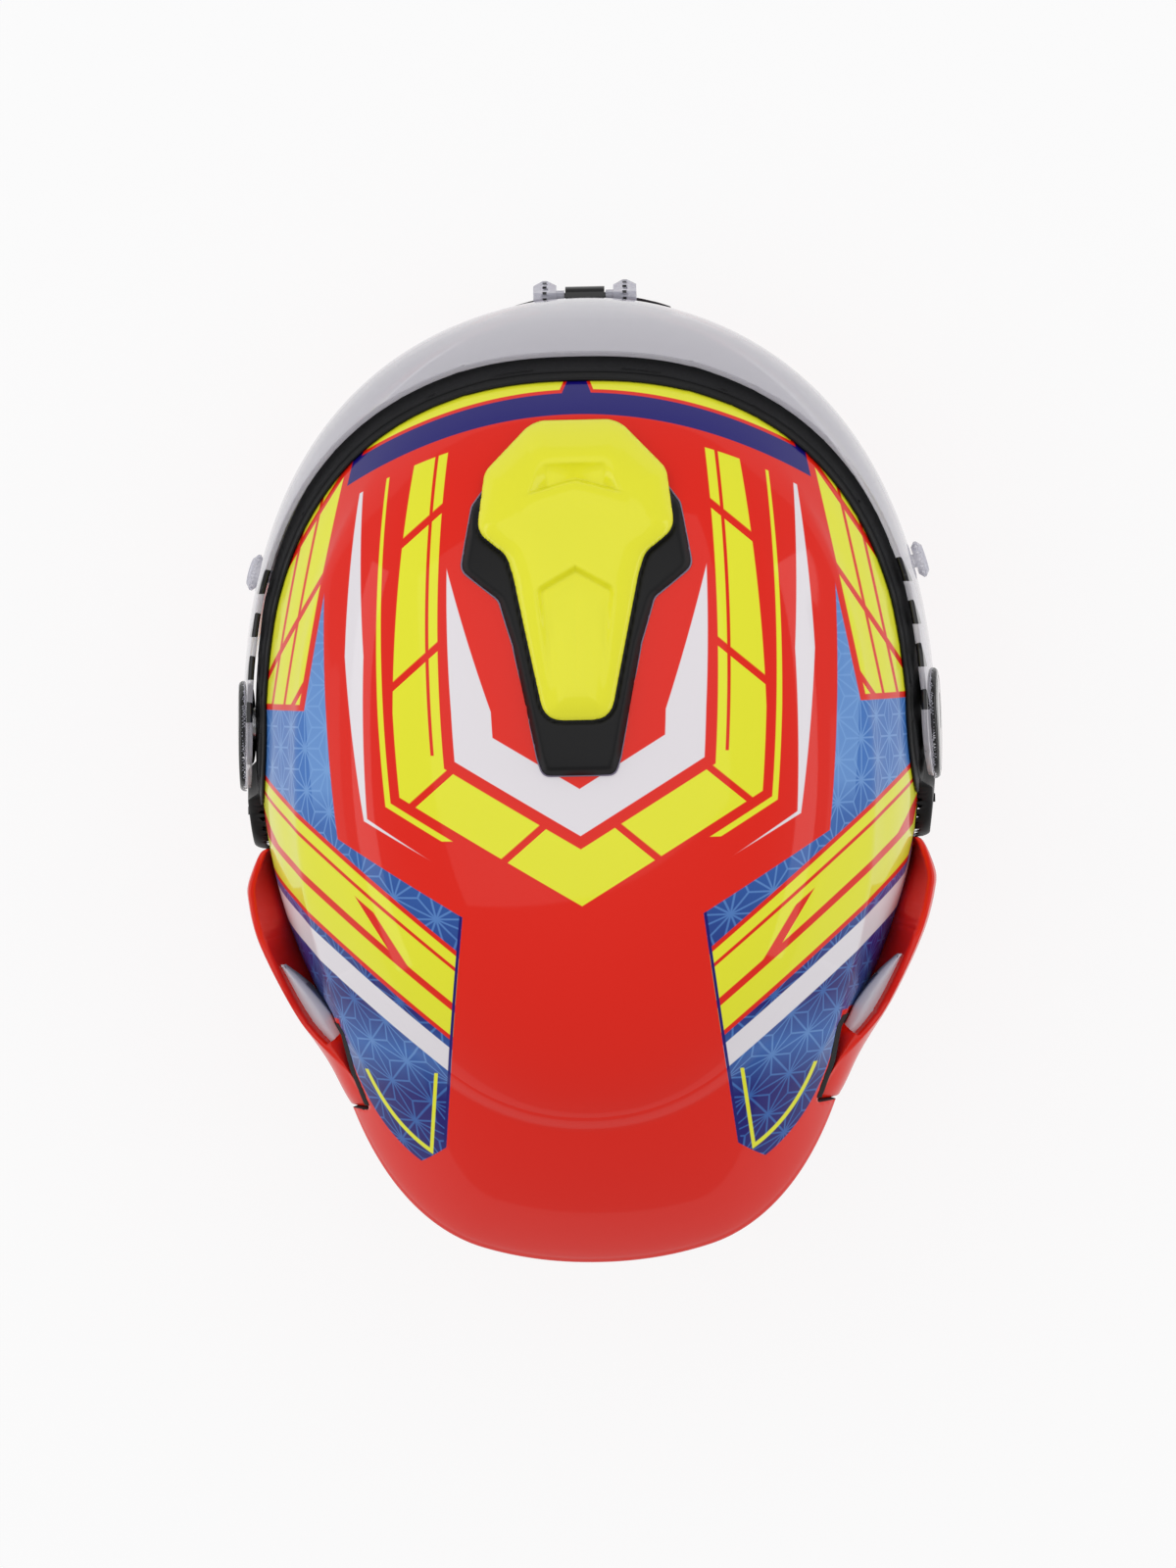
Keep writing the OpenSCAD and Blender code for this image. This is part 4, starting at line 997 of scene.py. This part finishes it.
def make_spoiler():
    heights = np.concatenate([np.linspace(TAIL_LOW - 3, TAIL_EDGE, 30, endpoint=False),
                              np.linspace(TAIL_EDGE, TAIL_EDGE + TAIL_T, 9, endpoint=False),
                              np.linspace(TAIL_EDGE + TAIL_T, TAIL_TOP + 5, 58)])
    bm = form_sheet(tail_skin, heights, 116, 244, 220)
    cut_away(bm, lambda x, reach, z: np.where(z < 184, distance(FIN_PLAN, abs(x), reach) - 0.9, 10))
    obj = piece(bm, "spoiler", [ART, INNER], "red_paint", ["rear_spoiler"])
    thicken(obj, 2.5, inner_material=1)


# Side fins with their ducts
FIN_LOW = 104
FIN_TOP = 174
FIN_MID = 140
FIN_SEAM_Z = 169
FIN_LIP = 1.6
FIN_FRONT = -46.5
FIN_END = -139.4
DUCT_END = -117.7
DUCT_DEEP = 12
VANE_W = 9.5
VANE_FRONT = -87.4
VANE_END = -117.2
fin_stand = curve_through([(-46.4, 1.6), (-48, 4.1), (-53, 7.4), (-60, 10.9), (-66, 11.6), (-75, 11.7),
                           (-84, 11.3), (-94.5, 10.8), (-104.6, 10.6), (-117, 10.5), (-127, 12.4),
                           (FIN_END, 18.1)])
fin_seam = curve_through([(-44, -21.5), (-75, -14), (-99, -4), (-112, -4.5), (FIN_END, 10.6)])
FIN_PLAN = [(float(wide_at(r, FIN_MID) + fin_seam(r)), r) for r in (-44, -75, -99, -112, -125, FIN_END)]
FIN_PLAN += [(150, FIN_END), (150, -44)]


def fin_low_z(reach):
    return FIN_LOW + 26 * (1 - ease((-46 - reach) / 32))


def fin_top_z(reach):
    return FIN_TOP - 32 * (1 - ease((-46 - reach) / 36))


def fin_out(reach, t):
    """Width of the fin's outer face at a share t of its height."""
    z = mix(fin_low_z(reach), fin_top_z(reach), t)
    near = wide_at(reach, z) + 0.5
    far = wide_at(reach, FIN_MID) + fin_stand(reach)
    roll = mix(0.1, 0.42, ease((-108 - reach) / 22))
    share = ease(t / 0.5) ** 0.7 - roll * clamp((t - 0.72) / 0.28) ** 2.4
    return mix(near, far, share), z


def fin_duct(x, reach, z):
    """Below 0 where the fin is open on top: the duct ends in a round bottom."""
    w = abs(x)
    top_x = fin_out(reach, 1.0)[0]
    end = DUCT_END + 5.8 * ((w - 100.7) / 9.4) ** 2
    open_here = np.maximum(w - (top_x - FIN_LIP), end - reach)
    return np.where(z > fin_top_z(reach) - DUCT_DEEP, open_here, 9)


def make_fin(side, name):
    def spot(u, v):
        reach = mix(FIN_FRONT, FIN_END, u)
        top_x, top_z = fin_out(reach, 1.0)
        seam_x = wide_at(reach, FIN_MID) + fin_seam(reach)
        seam_z = np.minimum(FIN_SEAM_Z, top_z)
        c = clamp((v - 0.05) / 0.35)
        cap_x = mix(seam_x, top_x, c)
        cap_z = mix(seam_z, top_z, c) + 2.6 * np.sin(np.pi * c) * ease((-100 - reach) / 20)
        wall_x, wall_z = fin_out(reach, clamp(1 - (v - 0.4) / 0.58))
        x = np.select([v < 0.05, v < 0.4], [seam_x, cap_x], wall_x)
        z = np.select([v < 0.05, v < 0.4], [seam_z - 16, cap_z], wall_z)
        return put(side * x, reach, z)

    bm = grid(150, 100, spot)
    cut_away(bm, fin_duct)

    def on_duct(x, reach, z):
        return (abs(fin_duct(x, reach, z)) < 0.6) & (z > fin_top_z(reach) - DUCT_DEEP)

    def to_shell(x, reach, z):
        return side * (wide_at(reach, z) - 1.5), reach, z

    at_end = FIN_END + 0.2
    grow_edge(bm, to_shell, lambda x, reach, z: (reach < at_end) & (abs(x) > wide_at(reach, z) - 1))
    grow_edge(bm, to_shell, lambda x, reach, z: (z < fin_low_z(reach) + 3) & (reach > at_end))
    edges = grow_edge(bm, lambda x, reach, z: (x - side * 0.7, reach + 0.3, z - 0.5), on_duct)
    edges = grow_edge(bm, lambda x, reach, z: (x - side * 0.4, reach + 0.2, z - 1.5), edges=edges)

    def wall(share, drop):
        def move(x, reach, z):
            foot = wide_at(reach, z - drop) - 1.5
            return side * mix(abs(x), np.minimum(abs(x), foot), share), reach + drop * 0.06, z - drop
        return move

    for share, drop in ((0.3, 9), (0.55, 10), (1.0, 11)):
        edges = grow_edge(bm, wall(share, drop), edges=edges)
    piece(bm, "fin_" + name, RED_PAINT, "red_paint", ["rear_fin_" + name], flip=side > 0)


def make_seam_shade(side, name):
    """Black line over the gap where the fin's saddle meets the tail: painted shadow of the gap."""
    bm = form_sheet(lambda a, z: tail_skin(a, z) + 0.12, np.linspace(150, 196, 93), 108, 168, 220)
    if side < 0:
        bmesh.ops.mirror(bm, geom=whole(bm), axis="X")
        bmesh.ops.delete(bm, geom=[v for v in bm.verts if v.co.x > 0], context="VERTS")

    def band(x, reach, z):
        return 0.95 - abs(distance(FIN_PLAN, abs(x), reach) - 0.3)

    cut_away(bm, band)
    cut_away(bm, lambda x, reach, z: np.minimum(-108.0 - reach, reach + 138.6))
    # dark rubber band that stands in for the shadow in the gap
    obj = piece(bm, "fin_gap_shade_" + name, RUBBER, "rubber", flip=side < 0)
    thicken(obj, 0.8)


def make_vane(side, name):
    """Milky deflector that stands in the duct along its outer wall."""
    def spot(u, v):
        reach = mix(VANE_FRONT, VANE_END, u)
        outer = fin_out(reach, 1.0)[0] - FIN_LIP - 1.3
        taper = 1 - 0.3 * clamp((u - 0.6) / 0.4)
        width = VANE_W * np.sin(np.pi * clamp(0.05 + 0.6 * u, 0, 0.5)) ** 0.8 * taper
        c = clamp((v - 0.25) / 0.5)
        x = outer - width * (1 - c)
        z = fin_top_z(reach) - 5.5 + 1.8 * np.sin(np.pi * c)
        z = np.where((v < 0.2) | (v > 0.8), z - 15, z)
        return put(side * x, reach, z)

    obj = piece(grid(60, 20, spot), "vane_" + name, WHITE_PLASTIC, "white_plastic",
                ["duct_vane_" + name], flip=side > 0)
    soften(obj, 0.7, 3, 40)


# Side pods, pivot caps and hubs
def rounded(v):
    """A quarter circle's rise, from 0 at the edge to 1."""
    return np.sqrt(clamp(1 - (1 - clamp(v)) ** 2))


SLOT = fillet([(-44, 121), (-29, 121), (-29, 132.3), (-44, 132.3)], 2)
CAP_R = 16
CAP_TAIL_R = 12
CAP = [(CAP_R * math.cos(k), PIVOT_Z + CAP_R * math.sin(k)) for k in np.linspace(-1.75, 1.45, 24)]
CAP += [(CAP_TAIL_R * math.cos(k) - 13, PIVOT_Z - 2 + CAP_TAIL_R * math.sin(k))
        for k in np.linspace(1.75, 4.5, 20)]
CAP = fillet(CAP, 0.5)


def chart(p0, p1, q0, q1, step, outline):
    """A flat sheet in two coordinates, cut to an outline."""
    nu, nv = round((p1 - p0) / step), round((q1 - q0) / step)
    bm = grid(nu, nv, lambda u, v: put(0, mix(p0, p1, u), mix(q0, q1, v)))
    cut_away(bm, lambda x, p, q: -distance(outline, p, q))
    return bm


def raise_chart(bm, spot):
    """Moves a chart's corners to spot(p, q)."""
    move_to(bm.verts, spot(*spots(bm.verts)[1:]))


def turned(profile, side, reach, z, steps):
    """A part turned round an axis across the helmet, from places as width and radius."""
    bm = bmesh.new()
    verts = [bm.verts.new(put(side * x, reach, z + r)) for x, r in profile]
    for a, b in zip(verts, verts[1:]):
        bm.edges.new((a, b))
    bmesh.ops.spin(bm, geom=whole(bm), cent=put(0, reach, z), axis=(1, 0, 0), angle=2 * math.pi, steps=steps,
                   use_merge=True)
    bmesh.ops.remove_doubles(bm, verts=bm.verts, dist=1e-6)
    bmesh.ops.recalc_face_normals(bm, faces=bm.faces)
    return bm


def make_pod(side, name):
    def stand(reach, z):
        tail = ease((-5 - reach) / 8) * ease((np.hypot(reach, z - PIVOT_Z) - 25.5) / 3)
        full = (1.4 + 4.0 * tail) * rounded(-plate_field(reach, z) / 2.0)
        well = ease((-distance(SLOT, reach, z) + 0.4) / 0.8)
        return 0.2 + full * (1 - 0.85 * well)

    bm = grid(200, 130, lambda u, v: put(0, mix(-48, 40, u), mix(113, 170, v)))
    cut_away(bm, lambda x, reach, z: -plate_field(reach, z))
    raise_chart(bm, lambda reach, z: put(side * wide_at(reach, z, stand(reach, z)), reach, z))
    grow_edge(bm, lambda x, reach, z: (x - side * 1.2, reach, z))
    piece(bm, "pod_" + name, SATIN_BLACK, "black_plastic", ["side_plate_" + name], flip=side < 0)

    def lid(reach, z):
        inside = -distance(CAP, reach, z)
        slot = ease((1.1 - abs(z - PIVOT_Z)) / 0.4) * ease((6.5 - abs(reach)) / 0.6)
        ring = bell(inside - 3.2, 0.35)
        return wide_at(reach, z, 6.12 + 1.9 * rounded(inside / 1.6) - 0.55 * slot - 0.3 * ring)

    bm = chart(-26, 17, 125, 159, 0.4, CAP)
    raise_chart(bm, lambda reach, z: put(side * lid(reach, z), reach, z))
    grow_edge(bm, lambda x, reach, z: (x - side * 0.5, reach, z))
    for f in bm.faces:
        f.material_index = int(any(e.is_boundary for e in f.edges))
    piece(bm, "cap_" + name, [GLOSS_BLACK, CLEAR_LUG], "black_gloss", ["pivot_cap_" + name],
          flip=side < 0)

    rings = [(124.1, 9.2), (124.1, 14.4), (124.6, 14.9), (126.0, 14.9), (126.5, 14.4), (126.5, 9.6),
             (126.1, 9.2), (124.1, 9.2)]
    bm = turned(rings, side, 0, PIVOT_Z, 96)
    piece(bm, "hub_" + name, MATT_BLACK, "hub_plastic", ["visor_hub_" + name], "visor")
    head = [(102.7, 0), (102.8, 3.2), (103.2, 4.6), (103.9, 5), (104.1, 4.8), (104.1, 2.5), (114.5, 2.5),
            (114.5, 0)]
    piece(turned(head, side, 18, 50, 40), "rivet_" + name, STEEL, "steel", ["strap_rivet_" + name])


def make_edge_trim():
    """Rubber bead round the neck opening."""
    section = [(0.2, 8.9), (1.2, 8.7), (1.75, 7.8), (1.8, 6.2), (1.55, 4.8), (1.8, 3.2), (1.6, 1.2),
               (0.8, 0.3), (-0.4, 0), (-3.6, 0), (-4.8, 0.3), (-5.5, 1.2), (-5.7, 3), (-5.7, 7), (-5.2, 8.5),
               (-4.2, 8.9)]
    offs, zs = np.array(section).T

    def spot(u, v):
        k = np.rint(v * (len(section) - 1)).astype(int)
        x, reach = plan_point(mix(-180, 180, u), np.maximum(zs[k], RIM_Z), offs[k])
        return put(x, reach, zs[k])

    bm = grid(240, len(section) - 1, spot, seam=True)
    piece(bm, "edge_trim", RUBBER, "rubber", ["bottom_edge_trim"])


# Comfort liner, straps and other soft parts
LINER_OUT = -34.6
LINER_TOP = 188
PAD_BASE = LINER_OUT - 1.8
PAD_DEPTH = 6.0
CROWN_MID = -14
STRAP_REACH = 18
STRAP_W = 24
PATH_STEP = 1.5
NECK_W = 62.3
NECK_L = 37.5
NECK_MID = 60
pad_foot = curve_through([(30, 107), (36, 110), (41, 152), (46, 159), (80, 171.5), (200, 179)])


def spoke_point(angle, z, off):
    """Place on the form seen from the middle of the crown, at an angle in degrees from the front."""
    c, s = np.cos(np.radians(angle)), np.sin(np.radians(angle))
    lo = np.zeros(np.shape(angle + z + off))
    far = halve(lo, lo + 175.0, 20, lambda m: wide_at(CROWN_MID + m * c, z, off) > abs(m * s))
    return far * s, CROWN_MID + far * c


def border_loop(bm):
    """Places along the open border, in millimetres."""
    edges = dict.fromkeys(e for e in bm.edges if e.is_boundary)
    v = next(iter(edges)).verts[0]
    loop = [v]
    while (e := next((e for e in v.link_edges if e in edges), None)) is not None:
        del edges[e]
        v = e.other_vert(v)
        loop.append(v)
    if loop[-1] is loop[0]:
        loop.pop()
    return np.column_stack(spots(loop))


def sweep(path, across, width, thick, closed=False, square=0.25, around=16):
    """A band along a path, in width, reach and height; across is the direction of its width."""
    path = np.asarray(path, float)
    n = len(path)
    if closed:
        run = np.roll(path, -1, 0) - np.roll(path, 1, 0)
    else:
        run = np.gradient(path, axis=0)
    run /= np.linalg.norm(run, axis=1)[:, None]
    wide = np.broadcast_to(np.asarray(across, float), path.shape)
    wide = wide - (wide * run).sum(1)[:, None] * run
    wide = wide / np.linalg.norm(wide, axis=1)[:, None]
    up = np.cross(run, wide)
    last = n if closed else n - 1

    def spot(u, v):
        k = np.rint(u * last).astype(int) % n
        c, s = np.cos(2 * np.pi * v), np.sin(2 * np.pi * v)
        w = width / 2 * np.sign(c) * abs(c) ** square
        h = thick / 2 * np.sign(s) * abs(s) ** square
        if not closed:
            inner = np.where((np.rint(u * last) > 0) & (np.rint(u * last) < last), 1.0, 0.0)
            w, h = w * inner, h * inner
        place = path[k] + wide[k] * w[:, None] + up[k] * h[:, None]
        return put(place[:, 0], place[:, 1], place[:, 2])

    bm = grid(last, around, spot, seam=True)
    bmesh.ops.recalc_face_normals(bm, faces=bm.faces)
    return bm


def smooth_path(points):
    """Evenly spaced places along a smooth line through the points."""
    line = spline(points, 24)
    gone = np.concatenate([[0], np.cumsum(np.linalg.norm(np.diff(line, axis=0), axis=1))])
    at = np.linspace(0, gone[-1], round(gone[-1] / PATH_STEP))
    return np.column_stack([np.interp(at, gone, line[:, k]) for k in range(3)])


def cushion(bm, outline, spot, name, replaces):
    """Closes a chart into a pad with piping; spot(p, q, inside, back) gives its two faces."""
    copy = bmesh.ops.duplicate(bm, geom=whole(bm))["geom"]
    behind = {g for g in copy if isinstance(g, bmesh.types.BMVert)}
    verts = bm.verts[:]
    p, q = spots(verts)[1:]
    rim = np.array([v.is_boundary for v in verts])
    inside = np.where(rim, 0, np.maximum(-distance(outline, p, q), 0.05))
    back = np.array([v in behind for v in verts])
    move_to(verts, spot(p, q, inside, back))
    keep = bm.copy()
    keep.verts.ensure_lookup_table()
    bmesh.ops.delete(keep, geom=[keep.verts[k] for k in range(len(verts)) if back[k]], context="VERTS")
    line = border_loop(keep)
    keep.free()
    bmesh.ops.remove_doubles(bm, verts=bm.verts, dist=2e-5)
    bmesh.ops.recalc_face_normals(bm, faces=bm.faces)
    pad = piece(bm, name, LINING, "liner", replaces)
    line = line[::max(1, len(line) // 220)]
    bead = sweep(line, line - line.mean(axis=0), 1.7, 1.7, True, 1.0, 8)
    piece(bead, name + "_piping", PIPING, "liner")


def channels(value, lines, depth, wide=1.3):
    """Depth of sewn channels where value comes near one of the lines."""
    return depth * sum(bell(value - line, wide) for line in lines)


def pad_face(base, depth, run, seam, inside, back, swell=1.6, back_run=3):
    """Stand-off of a pad's faces: a crowned front with sewn channels and a flatter back."""
    return base + np.where(back, swell * rounded(inside / back_run), seam - depth * rounded(inside / run))


def liner_pad(name, a0, a1, low, replaces, quilt):
    """One of the liner's side pads between two angles; low follows the reach."""
    scale = 1.55
    angles = np.linspace(a0, a1, 25)
    x, reach = spoke_point(angles, 170.0 + 0 * angles, LINER_OUT)
    foot = low(reach)
    gap = 0.6
    outline = [(a * scale, LINER_TOP - gap) for a in (a1 - gap, a0 + gap)]
    outline += [(a * scale, z) for a, z in zip(np.linspace(a0 + gap, a1 - gap, 25), foot)]
    outline = fillet(outline, 6)

    def spot(p, q, inside, back):
        a = p / scale
        seam = channels(a, quilt, 1.5) * ease((inside - 3) / 3)
        x, reach = spoke_point(a, q, pad_face(PAD_BASE, PAD_DEPTH, 8, seam, inside, back))
        return put(x, reach, q)

    bm = chart(a0 * scale, a1 * scale, float(foot.min()) - 1, LINER_TOP, 1.7, outline)
    cushion(bm, outline, spot, name, replaces)


def make_crown_pad():
    low = LINER_TOP + 0.8

    def spot(u, v):
        angle = 360 * u
        t = abs(1 - 2 * v) ** 1.4
        inside = t * 92
        back = v > 0.5
        rise = np.sin(np.pi / 2 * t)
        mid_off = LINER_OUT - 6
        x0, reach0 = spoke_point(angle, mix(low, SHELL_H + mid_off, rise * 0.999), mid_off)
        seam = channels(abs(x0), [24], 1.8) + channels(reach0, [-72, -38, -4, 30], 1.5) * (abs(x0) < 24)
        off = pad_face(PAD_BASE, PAD_DEPTH, 9, seam * ease((inside - 3) / 3), inside, back)
        z = mix(low, SHELL_H + off, rise)
        x, reach = spoke_point(angle, np.minimum(z, SHELL_H + off - 0.002), off)
        pole = t > 0.9999
        return put(np.where(pole, 0, x), np.where(pole, CROWN_MID, reach), z)

    bm = grid(160, 120, spot, seam=True)
    bmesh.ops.recalc_face_normals(bm, faces=bm.faces)
    pad = piece(bm, "crown_cushion", LINING, "liner", ["crown_pad"])


def make_cheek_pad(side, name):
    outline = fillet([(73, 10.2), (73, 83), (58, 97), (40, 103.5), (-46.8, 103.5), (-46.8, 24), (-38, 10.2),
                      (2.8, 10.2), (2.8, 20), (33.2, 20), (33.2, 10.2)], 8)

    def spot(reach, z, inside, back):
        outer = wide_at(reach, z, -4.8)
        inner = wide_at(reach, z, -38)
        seam = outer - 5.5
        ear = 9 * bell(reach + 24, 20) * bell(z - 88, 20)
        groove = channels(inside, [17], 2.2, 1.5)
        front = seam - (seam - inner) * rounded(inside / 19) + (ear + groove) * ease((inside - 4) / 8)
        pocket = ease((16.5 - abs(reach - STRAP_REACH)) / 3) * ease((66 - z) / 3)
        behind = seam + 5.2 * rounded(inside / 5) * (1 - pocket) - 9 * pocket * rounded(inside / 6)
        return put(side * np.where(back, behind, front), reach, z)

    bm = chart(-47, 73.2, 10, 104, 1.5, outline)
    cushion(bm, outline, spot, "cheek_cushion_" + name, ["cheek_pad_" + name])


def make_neck_roll():
    scale = 1.9
    half = 72.4 * scale
    outline = fillet([(-half, 10.3), (half, 10.3), (half, 51.2), (-half, 51.2)], 10)

    def spot(p, q, inside, back):
        seam = channels(p, [-84, -56, -28, 0, 28, 56, 84], 2.2, 1.6) * ease((inside - 5) / 4)
        x, reach = spoke_point(180 + p / scale, q, pad_face(-9.0, 22.5, 15, seam, inside, back, 4.0, 5))
        return put(x, reach, q)

    bm = chart(-half - 1, half + 1, 10, 52, 1.7, outline)
    cushion(bm, outline, spot, "neck_cushion", ["neck_roll"])


def make_curtain():
    """Cloth that closes the gap under the chin, with a bound edge."""
    def opening(p, q):
        return (p / NECK_W) ** 2 + ((q - NECK_MID) / NECK_L) ** 2

    bm = grid(110, 40, lambda u, v: put(0, mix(-70, 70, u), mix(84.2, 124.5, v)))
    cut_away(bm, lambda x, p, q: wide_at(q, 7.5 + 0 * q, -6.3) - abs(p))
    cut_away(bm, lambda x, p, q: (opening(p, q) - 1) * 20)

    def lay(p, q):
        sag = 0.9 * bell(np.sqrt(opening(p, q)) - 1, 0.25)
        return put(p, q, 8.3 - sag + 0.12 * np.sin(p / 3.1) * bell(q - 97, 9))

    raise_chart(bm, lay)
    area = sum(f.calc_area() for f in bm.faces)
    cloth_obj = piece(bm, "chin_curtain_cloth", LINING, "liner", ["chin_curtain"])
    thicken(cloth_obj, 1.1, 0)
    k = np.radians(np.linspace(49, 131, 60))
    hem = np.column_stack([(NECK_W + 0.3) * np.cos(k), NECK_MID + (NECK_L + 0.4) * np.sin(k), 0 * k + 7.4])
    bead = sweep(hem, (0, 0, 1), 2.2, 2.0, False, 1.0, 10)
    bound = piece(bead, "curtain_binding", PIPING, "liner")


def make_straps():
    def side_x(z):
        return float(wide_at(STRAP_REACH + 13, z, -4)) - 0.3

    post = side_x(40) - 2.9
    route = [(post, 58), (post, 49), (post, 40), (side_x(24) - 3, 24), (side_x(14) - 6, 15),
             (side_x(14) - 15, 12.6), (70, 12.5), (50, 14), (36, 17)]
    for side, word, end, end_name in ((1, "long", [(30, 19.3), (24.4, 20.8)], "left"),
                                      (-1, "short", [(24, 14.5), (12, 9), (2, 6)], "right")):
        path = smooth_path([(side * x, STRAP_REACH, z) for x, z in route + end])
        piece(sweep(path, (0, 1, 0), STRAP_W, 2), "strap_" + word, WEBBING, "webbing",
              ["strap_" + end_name])
    loop = [(20 + way * 3 * math.cos(k), STRAP_REACH, mid + way * 3 * math.sin(k))
            for way, mid in ((1, 25), (-1, 17)) for k in np.linspace(0, math.pi, 12)]
    piece(sweep(loop, (0, 1, 0), STRAP_W, 1.9, True), "ring_keeper", WEBBING, "webbing")
    for side, name in SIDES:
        pull = [(side * 64, reach + bulge * math.sin(k), 9.0 + 0.42 * math.cos(k))
                for reach, bulge in ((49, -0.6), (69.2, 0.6)) for k in np.linspace(0, math.pi, 8)]
        piece(sweep(pull, (1, 0, 0), 12, 0.5, True), "pull_tab_" + name, RED_WEB, "red_webbing",
              ["release_tab_" + name])


make_shell()
make_visor()
make_brow_seal()
make_vent()
make_spoiler()
make_edge_trim()
make_crown_pad()
liner_pad("forehead_cushion", -51.5, 51.5, pad_foot, ["forehead_pad"], (-26, 0, 26))
liner_pad("nape_cushion", 131.5, 228.5, lambda reach: 106.4 + 0 * reach, ["nape_pad"], (156, 180, 204))
liner_pad("temple_cushion_left", 52.5, 130.5, pad_foot, ["temple_pad_left"], (78, 104))
liner_pad("temple_cushion_right", -130.5, -52.5, pad_foot, ["temple_pad_right"], (-104, -78))
make_neck_roll()
make_curtain()
make_straps()
for fin_side, fin_name in SIDES:
    make_fin(fin_side, fin_name)
    make_seam_shade(fin_side, fin_name)
    make_vane(fin_side, fin_name)
    make_pod(fin_side, fin_name)
    make_cheek_pad(fin_side, fin_name)
